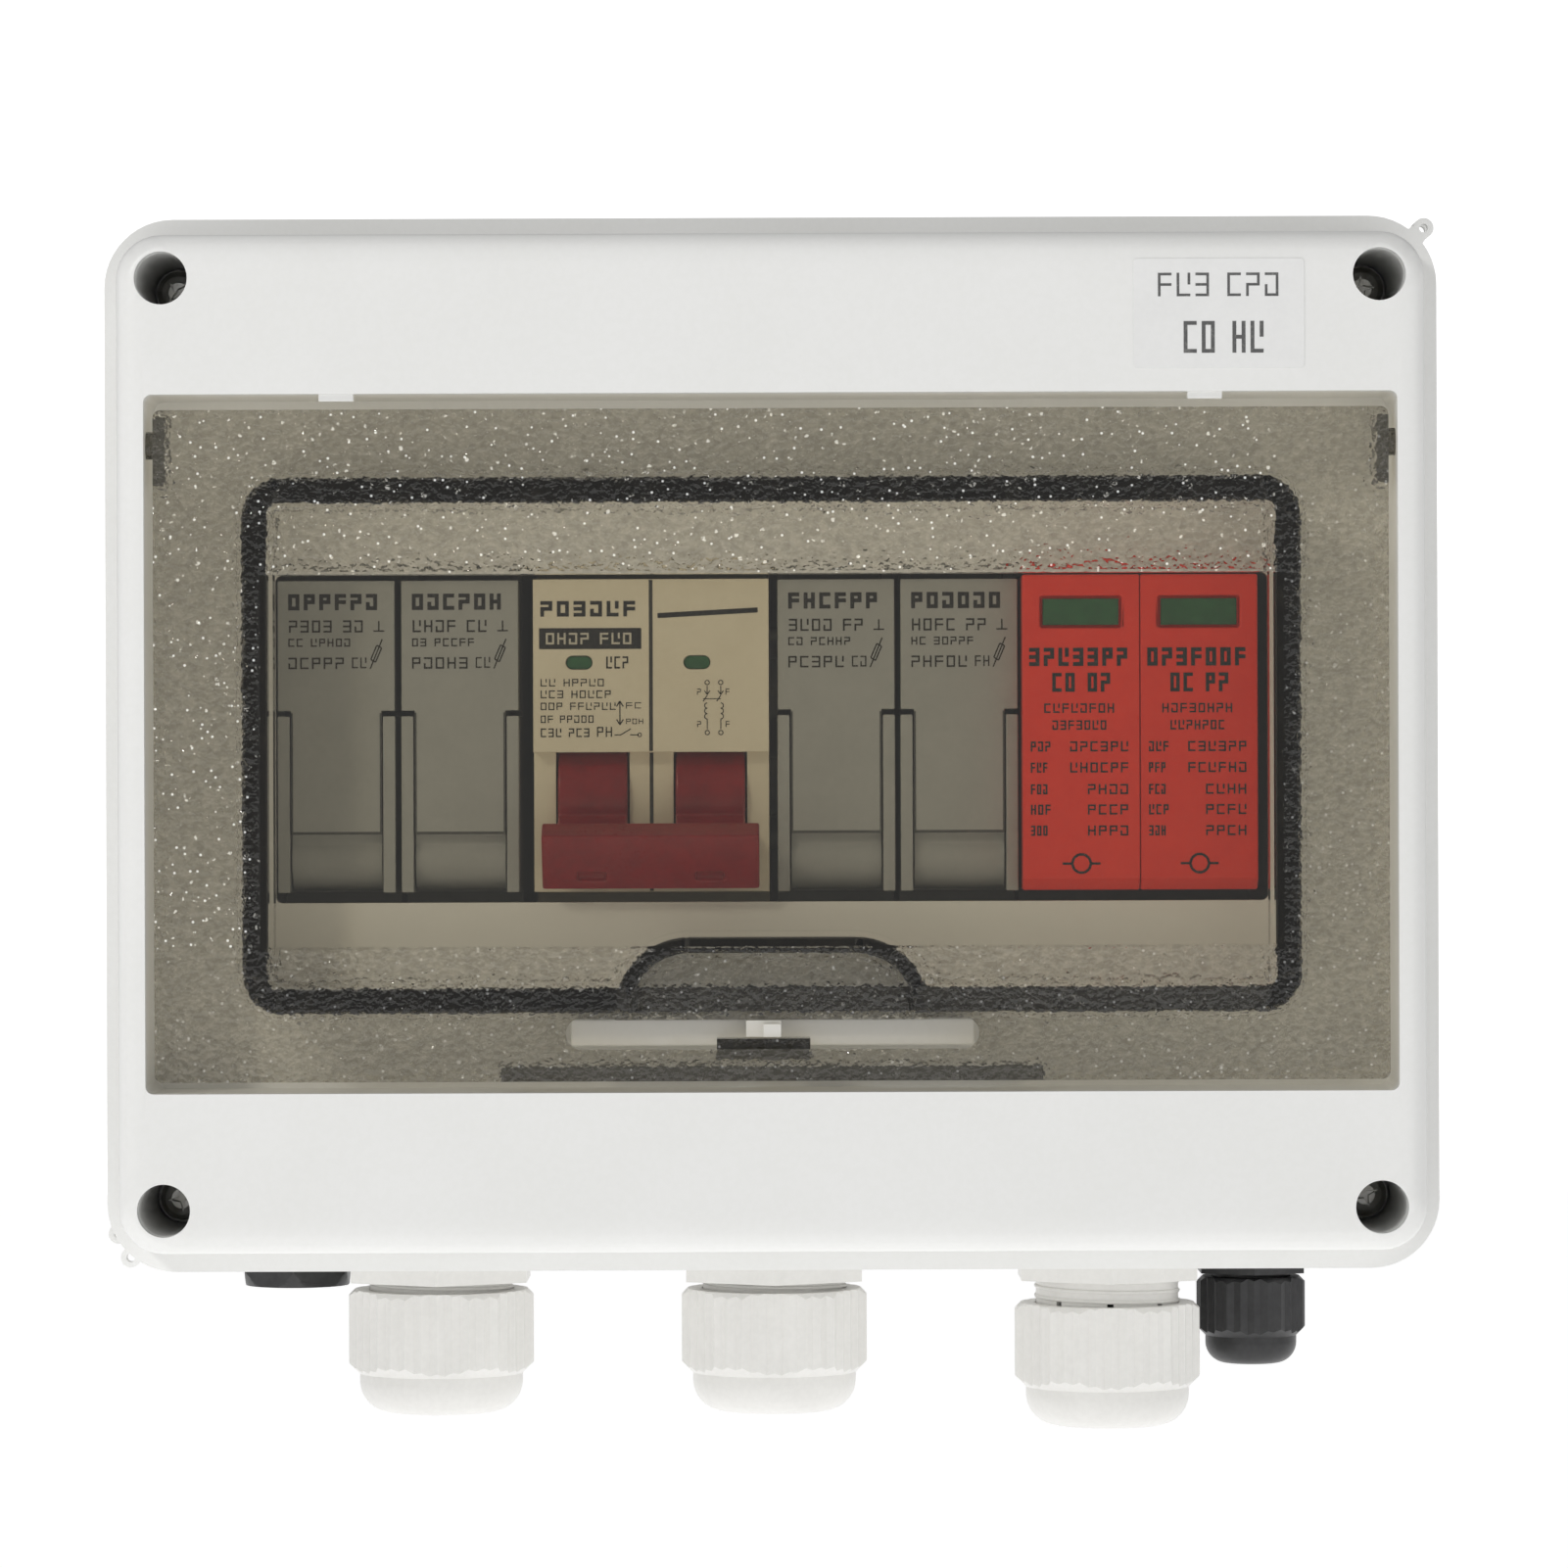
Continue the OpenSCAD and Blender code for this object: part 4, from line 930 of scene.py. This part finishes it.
@dataclass
class Enclosure:
    """Base, cover, their seal and screws, and the sticker."""

    head_r: float = 3.3
    head_h: float = 2.3
    drive_w: float = 0.85
    drive_l: float = 2.0
    sticker_seed: int = 5
    sticker_lines: tuple[Line, ...] = (
        Line(3.6, 3.0, 10.4, 13.8, 0.11, (3, 3)),
        Line(7.3, 5.2, 2.2, 6.8, 0.12, (2, 2)),
    )

    def build(self) -> None:
        """Dress the shells and make the screw heads and the sticker's print."""
        dress("base_shell", 0.3, merge=False)
        dress("cover_shell", 0.3, merge=False)
        dress("rim_seal", 0.0)
        dress("label", 0.03, 1)
        dress("cover_screws", 0.0)
        self.screw_heads()
        self.sticker_print()
        log.info("enclosure done")

    def head(self) -> bpy.types.Object:
        """A domed screw head with a cross drive, at the origin and facing forward.

        Returns:
            An object to be used as the instance.
        """
        bm = bmesh.new()
        profile = [(0.0, 0.72), (0.45, 0.70), (0.75, 0.60), (0.93, 0.42), (1.0, 0.2), (1.0, 0.0)]
        sides = 24
        rings = []
        for out, up in profile[1:]:
            rings.append([bm.verts.new(Vector((
                self.head_r * out * math.cos(2 * math.pi * k / sides), -self.head_h * up,
                self.head_r * out * math.sin(2 * math.pi * k / sides))) * MM) for k in range(sides)])
        for low, high in zip(rings, rings[1:]):
            for k in range(sides):
                bm.faces.new((low[k], low[(k + 1) % sides], high[(k + 1) % sides], high[k]))
        bm.faces.new(rings[-1])
        cross = []
        w, l = self.drive_w / 2, self.drive_l
        for quarter in range(4):
            turn = Matrix.Rotation(quarter * math.pi / 2, 3, "Y")
            for x, z in ((w, l), (w, w)):
                point = turn @ Vector((x, 0, z))
                cross.append(point)
        mouth = [bm.verts.new((p + Vector((0, -self.head_h * 0.7, 0))) * MM) for p in cross]
        floor = [bm.verts.new((p * 0.8 + Vector((0, -self.head_h * 0.25, 0))) * MM) for p in cross]
        for k in range(8):
            bm.faces.new((mouth[k], mouth[(k + 1) % 8], floor[(k + 1) % 8], floor[k]))
        bm.faces.new(floor)
        self.crown(bm, rings[0], mouth)
        bmesh.ops.recalc_face_normals(bm, faces=bm.faces)
        mesh = bpy.data.meshes.new("cross_head")
        bm.to_mesh(mesh)
        bm.free()
        return bpy.data.objects.new("cross_head", mesh)

    @staticmethod
    def crown(bm: bmesh.types.BMesh, ring: list, mouth: list) -> None:
        """Close the top of the head between its first ring and the mouth of the drive.

        Args:
            bm: The mesh.
            ring: The ring's vertices in order.
            mouth: The mouth's vertices in order.
        """
        edges = [bm.edges.get((ring[k], ring[(k + 1) % len(ring)])) for k in range(len(ring))]
        edges += [bm.edges.get((mouth[k], mouth[(k + 1) % len(mouth)])) for k in range(len(mouth))]
        bmesh.ops.triangle_fill(bm, edges=edges, use_beauty=True, normal=(0, -1, 0))

    def screw_heads(self) -> None:
        """Set a head on each cover screw, down in its well."""
        low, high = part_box("cover_screws")
        xs = ((low.x / MM + self.head_r + 0.1), (high.x / MM - self.head_r - 0.1))
        zs = ((low.z / MM + self.head_r + 0.1), (high.z / MM - self.head_r - 0.1))
        top = -low.y / MM
        points = [(x, top - 0.02, z) for x in xs for z in zs]
        mesh = grow("cover_screw_heads", points, head_tree(self.head()), {"Seed": 3}, FINISHES[Slot.ZINC])
        place_mesh("cover_screw_heads", mesh, FINISHES[Slot.ZINC], body_of("cover_screws"))

    def sticker_print(self) -> None:
        """Two rows of made-up characters on the sticker."""
        low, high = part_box("label")
        foot = low.z / MM
        ink = FacePrint(-low.y / MM, self.sticker_seed)
        raised = (replace(line, low=foot + line.low, high=foot + line.high) for line in self.sticker_lines)
        ink.lines(low.x / MM, high.x / MM, raised)
        add_piece("sticker_print", ink.bm, INK_GREY, body_of("label"))


def block(bm: bmesh.types.BMesh, x: tuple[float, float], d: tuple[float, float],
          z: tuple[float, float], round_mm: float = 0.3) -> None:
    """Add a block with rounded edges to a mesh.

    Args:
        bm: The mesh.
        x: Left and right, in mm.
        d: Back and front depth.
        z: Lower and upper height.
        round_mm: Radius of its edges.
    """
    made = bmesh.ops.create_cube(bm, size=1.0)["verts"]
    bmesh.ops.scale(bm, verts=made, vec=((x[1] - x[0]) * MM, (d[1] - d[0]) * MM, (z[1] - z[0]) * MM))
    bmesh.ops.translate(bm, verts=made, vec=Vector((sum(x) / 2, -sum(d) / 2, sum(z) / 2)) * MM)
    edges = list({e for v in made for e in v.link_edges})
    bmesh.ops.bevel(bm, geom=edges, offset=round_mm * MM, segments=3, profile=0.5, affect="EDGES")


@dataclass
class Door:
    """The smoked window, its seal and the ledge behind its finger slot."""

    seal_run_x: float = 22.6
    seal_w: float = 3.6
    ledge_x: float = 29.6
    ledge_d: tuple[float, float] = (75.5, 84.1)
    ledge_z: tuple[float, float] = (-44.4, -40.35)

    def build(self) -> None:
        """Dress the window and its seal, and add the seal's run and the ledge."""
        dress("door", 0.25, merge=False)
        dress("door_seal", 0.3, merge=False)
        self.seal_run()
        self.ledge()
        log.info("door done")

    def seal_run(self) -> None:
        """The seal's straight run behind the finger pocket."""
        low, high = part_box("door_seal")
        bm = bmesh.new()
        z0 = low.z / MM + 0.02
        block(bm, (-self.seal_run_x, self.seal_run_x), (-high.y / MM + 0.02, -low.y / MM - 0.02),
              (z0, z0 + self.seal_w), 0.5)
        add_piece("seal_lower_run", bm, FINISHES[Slot.RUBBER], body_of("door_seal"), True)

    def ledge(self) -> None:
        """White ledge on the tray, just behind the finger slot."""
        bm = bmesh.new()
        block(bm, (-self.ledge_x, self.ledge_x), self.ledge_d, self.ledge_z, 0.4)
        add_piece("slot_ledge", bm, FINISHES[Slot.SHELL], body_of("cover_shell"), True)


# ---------------------------------------------------------------------------------------------
# Devices on the rail
# ---------------------------------------------------------------------------------------------

def across(node: str) -> tuple[float, float]:
    """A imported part's left and right ends, in mm."""
    low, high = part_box(node)
    return low.x / MM, high.x / MM


@dataclass
class FuseHolders:
    """Four swing-out fuse holders with their links and spring contacts."""

    count: int = 4
    cap_low: float = 5.0
    flap_x: float = 6.7
    flap_low: float = -12.9
    groove_w: float = 0.28
    foot_groove_w: float = 0.4
    lines: tuple[Line, ...] = (
        Line(1.6, 1.9, 19.9, 22.3, 0.24, (6,)),
        Line(1.7, 4.2, 16.6, 18.4, 0.15, (4, 2)),
        Line(1.6, 6.2, 14.5, 15.7, 0.17, (2, 5)),
        Line(1.6, 7.0, 11.2, 12.9, 0.15, (5,)),
    )

    def build(self) -> None:
        """Dress the holders and print their heads."""
        for k in range(1, self.count + 1):
            dress(f"fuse_body_{k}", 0.2)
            dress(f"fuse_carrier_{k}", 0.3)
            dress(f"fuse_link_{k}", 0.0)
            self.head_print(k)
            self.flap_groove(k)
        dress("fuse_clips", 0.0)
        log.info("%d fuse holders done", self.count)

    def head_print(self, k: int) -> None:
        """Rating print and symbols on one holder's head.

        Args:
            k: Which holder, from 1.
        """
        node = f"fuse_carrier_{k}"
        left, right = across(node)
        front = -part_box(node)[0].y / MM
        ink = FacePrint(front, 20 + k)
        ink.lines(left, right, self.lines)
        ink.row(right - 6.3, right - 3.8, 11.3, 12.9, 0.13, (2,))
        x = right - 2.3
        ink.stroke((x, 18.3), (x, 16.9), 0.22)
        ink.stroke((x - 0.8, 16.8), (x + 0.8, 16.8), 0.22)
        self.fuse_symbol(ink, x - 0.2)
        add_piece(f"holder_print_{k}", ink.bm, INK_BLACK, body_of(node))

    @staticmethod
    def fuse_symbol(ink: FacePrint, x: float) -> None:
        """A slanted fuse sign.

        Args:
            ink: The print it belongs to.
            x: Its middle.
        """
        corners = [(x - 1.0, 12.6), (x - 0.3, 12.2), (x + 0.6, 14.3), (x - 0.1, 14.7)]
        for a, b in zip(corners, corners[1:] + corners[:1]):
            ink.stroke(a, b, 0.2)
        ink.stroke((x - 1.1, 11.2), (x + 0.7, 15.6), 0.2)

    def flap_groove(self, k: int) -> None:
        """Painted shade in the side grooves round one holder's finger flap, and painted shadow under its
        lower edge.

        Args:
            k: Which holder, from 1.
        """
        node = f"fuse_carrier_{k}"
        left, right = across(node)
        middle = (left + right) / 2
        front = -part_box(node)[0].y / MM
        ink = FacePrint(front, 40 + k)
        start, end = middle - self.flap_x, middle + self.flap_x
        low, high = self.flap_low, self.cap_low - 0.3
        # Painted shade down both side grooves, then painted shadow under the flap's lower edge.
        ink.bar(start, start + self.groove_w, low, high, 0.012)
        ink.bar(end - self.groove_w, end, low, high, 0.012)
        ink.bar(start, end, low - self.foot_groove_w, low, 0.014)
        add_piece(f"flap_line_{k}", ink.bm, FLAP_SHADE, body_of(node))


@dataclass
class Breaker:
    """Two-pole breaker with its tied lever and status flags."""

    seam_half: float = 0.28
    step_back: float = 2.5
    fine_line: float = 0.15
    ratings: tuple[Line, ...] = (
        Line(1.1, 6.6, 8.5, 9.6, 0.15, (2, 5)),
        Line(1.1, 5.6, 6.75, 7.9, 0.15, (3, 5)),
        Line(1.1, 4.9, 5.0, 6.1, 0.15, (3, 6)),
        Line(1.1, 8.2, 3.1, 4.2, 0.15, (2, 5)),
        Line(1.1, 8.8, 1.0, 2.3, 0.15, (3, 3)),
    )

    def build(self) -> None:
        """Dress the poles and the lever and print both faces."""
        dress("breaker_pole_left", 0.25)
        dress("breaker_pole_right", 0.25)
        dress("breaker_handle", 0.35, 3)
        dress("breaker_flags", 0.1)
        self.left_print()
        self.right_print()
        self.seam()
        log.info("breaker done")

    def seam(self) -> None:
        """The dark joint between the two poles."""
        low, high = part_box("breaker_pole_left")
        edge = high.x / MM
        body = body_of("breaker_pole_left")
        front = -low.y / MM
        for name, depth, z0, z1 in (("upper", front, -1.1, 24.2),
                                    ("lower", front - self.step_back, -21.8, -1.3)):
            line = FacePrint(depth, 71)
            line.bar(edge - self.seam_half, edge + self.seam_half, z0, z1, 0.015)
            add_piece(f"pole_seam_{name}", line.bm, SEAM, body)

    def left_print(self) -> None:
        """Ratings, the dark band and the switch sign on the left pole."""
        node = "breaker_pole_left"
        left, right = across(node)
        front = -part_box(node)[0].y / MM
        ink = FacePrint(front, 61)
        ink.row(left + 1.1, right - 1.6, 18.8, 21.1, 0.24, (6,))
        ink.bar(left + 0.9, right - 1.4, 14.0, 17.1)
        ink.row(right - 6.6, right - 3.0, 11.1, 12.9, 0.14, (3,))
        ink.lines(left, right, self.ratings)
        ink.row(right - 8.0, right - 5.4, 1.0, 2.5, 0.13, (2,))
        self.throw_sign(ink, right - 4.6, right)
        add_piece("breaker_print_left", ink.bm, INK_BLACK, body_of(node))
        band = FacePrint(front, 62)
        band.FILM = 0.05
        band.row(left + 1.9, right - 2.4, 14.7, 16.4, 0.17, (4, 3))
        add_piece("breaker_band_print", band.bm, INK_PALE, body_of(node))

    @staticmethod
    def throw_sign(ink: FacePrint, x: float, right: float) -> None:
        """The arrow of the lever's throw and the open switch under it.

        Args:
            ink: The print it belongs to.
            x: The arrow's X.
            right: The pole's right edge.
        """
        ink.stroke((x, 6.2), (x, 2.9), 0.18)
        for s in (-1, 1):
            ink.stroke((x, 6.3), (x + s * 0.5, 5.5), 0.18)
            ink.stroke((x, 2.8), (x + s * 0.5, 3.6), 0.18)
        ink.row(x + 0.9, right - 1.1, 5.2, 6.1, 0.15, (2,))
        ink.row(x + 0.9, right - 0.9, 2.9, 3.7, 0.15, (3,))
        for a, b in (((-0.8, 1.3), (0.1, 1.3)), ((0.1, 1.3), (1.6, 2.2)), ((1.5, 1.3), (2.8, 1.3))):
            ink.stroke((x + a[0], a[1]), (x + b[0], b[1]), 0.16)
        ink.ring(x + 2.9, 1.3, 0.28, 0.14)

    def right_print(self) -> None:
        """The stripe and the circuit sign on the right pole."""
        node = "breaker_pole_right"
        left, right = across(node)
        front = -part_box(node)[0].y / MM
        ink = FacePrint(front, 63)
        ink.stroke((left + 1.0, 18.9), (right - 1.6, 19.7), 0.75)
        middle = (left + right) / 2 + 0.6
        for s in (-1, 1):
            x, fine = middle + s, self.fine_line
            ink.ring(x, 9.0, 0.33, fine)
            for start, end in (((0.0, 8.5), (0.0, 7.2)), ((-0.4, 7.8), (0.0, 7.2)),
                               ((0.4, 7.8), (0.0, 7.2)), ((-0.6, 6.2), (0.0, 7.1))):
                ink.stroke((x + start[0], start[1]), (x + end[0], end[1]), fine)
            for z in (5.6, 4.8, 4.0):
                ink.ring(x, z, 0.4, fine, -90 if s > 0 else 90, 180)
            ink.stroke((x, 3.6), (x, 2.1), fine)
            ink.ring(x, 1.6, 0.33, fine)
            ink.row(x + s * 1.1 - 0.4, x + s * 1.1 + 0.4, 7.2, 8.1, 0.14, (1,))
            ink.row(x + s * 1.1 - 0.4, x + s * 1.1 + 0.4, 2.4, 3.3, 0.14, (1,))
        ink.stroke((middle - 1.6, 6.6), (middle + 1.0, 6.6), 0.13)
        add_piece("breaker_print_right", ink.bm, INK_BLACK, body_of(node))


@dataclass
class SurgeArrester:
    """Base and the two pull-out cartridges."""

    sign_z: float = -17.9
    sign_r: float = 1.4
    heads: tuple[Line, ...] = (
        Line(1.0, 1.2, 11.2, 13.9, 0.22, (7,)),
        Line(4.4, 3.8, 7.4, 10.2, 0.19, (2, 2)),
        Line(3.2, 3.4, 4.3, 5.7, 0.17, (8,)),
        Line(4.4, 4.6, 1.8, 3.2, 0.17, (7,)),
    )
    rating_rows: tuple[float, ...] = (-1.4, -4.5, -7.7, -10.7, -13.8)
    long_rows: int = 2

    def build(self) -> None:
        """Dress the base and the cartridges and print them."""
        dress("surge_base", 0.25)
        for k in (1, 2):
            dress(f"surge_cartridge_{k}", 0.3)
            dress(f"surge_flag_{k}", 0.1)
            self.cartridge_print(k)
        log.info("surge arrester done")

    def cartridge_print(self, k: int) -> None:
        """Ratings in two columns on one cartridge.

        Args:
            k: Which cartridge, from 1.
        """
        node = f"surge_cartridge_{k}"
        left, right = across(node)
        ink = FacePrint(-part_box(node)[0].y / MM, 80 + k)
        ink.lines(left, right, self.heads)
        for n, z in enumerate(self.rating_rows):
            start, marks = (7.0, 6) if n < self.long_rows else (9.6, 4)
            ink.row(left + 1.2, left + (3.9 if n % 3 else 4.4), z, z + 1.5, 0.17, (3,))
            ink.row(left + start, right - 1.3, z, z + 1.5, 0.17, (marks,))
        middle, z, r = (left + right) / 2, self.sign_z, self.sign_r
        ink.ring(middle, z, r, 0.4)
        for near, far in ((-2 * r, -r), (r, 2 * r)):
            ink.stroke((middle + near, z), (middle + far, z), 0.35)
        add_piece(f"cartridge_print_{k}", ink.bm, INK_BLACK, body_of(node))


@dataclass
class RailAndWiring:
    """Rail, its screws and clips, the terminals and both comb busbars."""

    def build(self) -> None:
        """Dress what stands behind the fronts."""
        for node in ("din_rail", "rail_screws", "rail_clips", "terminal_clamps", "terminal_screws"):
            dress(node, 0.0)
        for node in ("plus_bus", "minus_bus"):
            dress(node, 0.2)
        log.info("rail, terminals and busbars done")


# ---------------------------------------------------------------------------------------------
# Glands
# ---------------------------------------------------------------------------------------------

@dataclass
class Glands:
    """Three cable glands, the earth gland and the plug under the box."""

    count: int = 3
    pitch_mm: float = 1.5
    crest_mm: float = 0.34
    small_pitch_mm: float = 1.2
    neck_r: float = 10.95
    small_neck_r: float = 5.95
    neck_end: float = -82.6
    small_neck_end: float = -82.55
    over_cap: float = 0.35
    over_small_cap: float = 0.2

    def build(self) -> None:
        """Dress the glands and wind the threads of their necks."""
        for k in range(1, self.count + 1):
            dress(f"gland_body_{k}", 0.3)
            dress(f"gland_cap_{k}", None)
            dress(f"gland_seal_{k}", 0.3)
        for node in ("gland_washers", "gland_locknuts", "small_washers", "small_locknuts", "plug"):
            dress(node, 0.25)
        dress("earth_gland_body", 0.25)
        dress("earth_gland_cap", None)
        dress("earth_gland_seal", 0.2)
        self.threads()
        log.info("glands done")

    def neck(self, body: str, cap: str) -> tuple[float, float, float]:
        """Axis and lowest visible height of a gland's neck, just above its cap.

        Args:
            body: The screwed body's node.
            cap: The clamping cap's node.

        Returns:
            X, depth and Z, in mm.
        """
        low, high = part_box(body)
        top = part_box(cap)[1].z
        middle = (low + high) / 2 / MM
        return middle.x, -middle.y, top / MM

    def threads(self) -> None:
        """Wind the thread on the neck of each gland, above its cap."""
        tree = thread_tree()
        for k in range(1, self.count + 1):
            x, d, top = self.neck(f"gland_body_{k}", f"gland_cap_{k}")
            start = top + self.over_cap
            self.wind(f"neck_thread_{k}", (x, d, start), tree, self.neck_r, self.pitch_mm,
                      self.neck_end - start, Slot.GLAND_WHITE)
        x, d, top = self.neck("earth_gland_body", "earth_gland_cap")
        start = top + self.over_small_cap
        self.wind("neck_thread_earth", (x, d, start), tree, self.small_neck_r, self.small_pitch_mm,
                  self.small_neck_end - start, Slot.GLAND_BLACK)

    def wind(self, name: str, foot: tuple[float, float, float], tree: bpy.types.NodeTree,
             radius: float, pitch: float, length: float, slot: Slot) -> None:
        """Wind one thread and place it on the enclosure.

        Args:
            name: The piece's name.
            foot: Its lower end on the axis: X, depth and Z, in mm.
            tree: The thread's node tree.
            radius: Radius of the neck.
            pitch: Rise of each turn.
            length: Length along the axis.
            slot: The finish.
        """
        mesh = grow(name, [foot], tree, {"Radius": radius * MM, "Pitch": pitch * MM, "Length": length * MM,
                                         "Crest": self.crest_mm * MM}, FINISHES[slot])
        place_mesh(name, mesh, FINISHES[slot], body_of("gland_body_1"))


# ---------------------------------------------------------------------------------------------
# Studio
# ---------------------------------------------------------------------------------------------

@dataclass(frozen=True)
class SoftBox:
    """A square soft light."""

    name: str
    place: Colour
    aim: Colour
    size: float
    power: float
    tint: Colour = (1.0, 1.0, 1.0)

    def light(self) -> None:
        """Hang the light and turn it to its aim."""
        lamp = bpy.data.lights.new(self.name, "AREA")
        lamp.shape = "SQUARE"
        lamp.size = self.size
        lamp.energy = self.power
        lamp.color = self.tint
        holder = bpy.data.objects.new(self.name, lamp)
        holder.location = self.place
        holder.rotation_euler = (Vector(self.aim) - Vector(self.place)).to_track_quat("-Z", "Y").to_euler()
        bpy.context.scene.collection.objects.link(holder)


@dataclass
class Studio:
    """Pale floor, white surround, soft lights and the camera in front."""

    floor_z: float = -0.32
    sky: float = 0.42
    backdrop: float = 1.2
    lens: float = 150.6
    stand: Colour = (0.0018, -1.045, -0.00603)
    roll: float = -0.2

    def build(self) -> None:
        """Set up the whole studio."""
        self.lay_floor()
        self.surround()
        for box in (
            SoftBox("key", (-0.75, -0.95, 0.65), (0.0, 0.0, 0.0), 0.16, 3.9, (1.0, 0.995, 0.985)),
            SoftBox("fill", (0.9, -1.2, 0.1), (0.0, 0.0, 0.0), 0.9, 0.8),
        ):
            box.light()
        self.camera()
        bpy.context.scene.view_settings.view_transform = "Standard"
        log.info("studio done")

    def lay_floor(self) -> None:
        """A plain pale floor well below the box."""
        recipe = Recipe("floor_paper")
        shader = recipe.node("BsdfPrincipled", sockets={
            "Base Color": recipe.blend(recipe.noise(120.0), (0.92, 0.92, 0.92), (0.90, 0.90, 0.90)),
            "Roughness": 0.9, "Emission Color": (1.0, 1.0, 1.0), "Emission Strength": 0.62})
        bm = bmesh.new()
        bmesh.ops.create_grid(bm, x_segments=4, y_segments=4, size=4.0)
        bmesh.ops.translate(bm, verts=bm.verts, vec=(0.0, 0.0, self.floor_z))
        mesh = bpy.data.meshes.new("floor")
        bm.to_mesh(mesh)
        bm.free()
        mesh.materials.append(recipe.finish(shader.outputs[0]))
        floor = bpy.data.objects.new("floor", mesh)
        bpy.context.scene.collection.objects.link(floor)

    def surround(self) -> None:
        """White all round: bright behind the box, softer as a light."""
        world = bpy.data.worlds.new("surround")
        bpy.context.scene.world = world
        world.use_nodes = True
        tree = world.node_tree
        tree.nodes.clear()
        path = tree.nodes.new("ShaderNodeLightPath")
        level = tree.nodes.new("ShaderNodeMapRange")
        level.inputs["To Min"].default_value = self.sky
        level.inputs["To Max"].default_value = self.backdrop
        tree.links.new(path.outputs["Is Camera Ray"], level.inputs["Value"])
        glow = tree.nodes.new("ShaderNodeBackground")
        glow.inputs["Color"].default_value = (1.0, 1.0, 1.0, 1.0)
        tree.links.new(level.outputs[0], glow.inputs["Strength"])
        out = tree.nodes.new("ShaderNodeOutputWorld")
        tree.links.new(glow.outputs[0], out.inputs["Surface"])

    def camera(self) -> None:
        """Stand the camera square in front of the box."""
        lens = bpy.data.cameras.new("front_camera")
        lens.lens = self.lens
        lens.sensor_width = 36.0
        lens.clip_end = 20.0
        holder = bpy.data.objects.new("front_camera", lens)
        holder.location = self.stand
        holder.rotation_euler = (math.radians(90), 0.0, 0.0)
        holder.rotation_euler.rotate_axis("Z", math.radians(self.roll))
        bpy.context.scene.collection.objects.link(holder)
        bpy.context.scene.camera = holder


def main() -> None:
    """Build every sub-assembly and the studio, then log how many parts were dressed."""
    logging.basicConfig(level=logging.INFO, format="%(name)s: %(message)s")
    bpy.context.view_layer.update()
    for part in (Enclosure(), Door(), FuseHolders(), Breaker(), SurgeArrester(), RailAndWiring(), Glands(),
                 Studio()):
        part.build()
    log.info("%d packed parts dressed", len(frame["nodes"]))


if __name__ == "__main__":
    main()
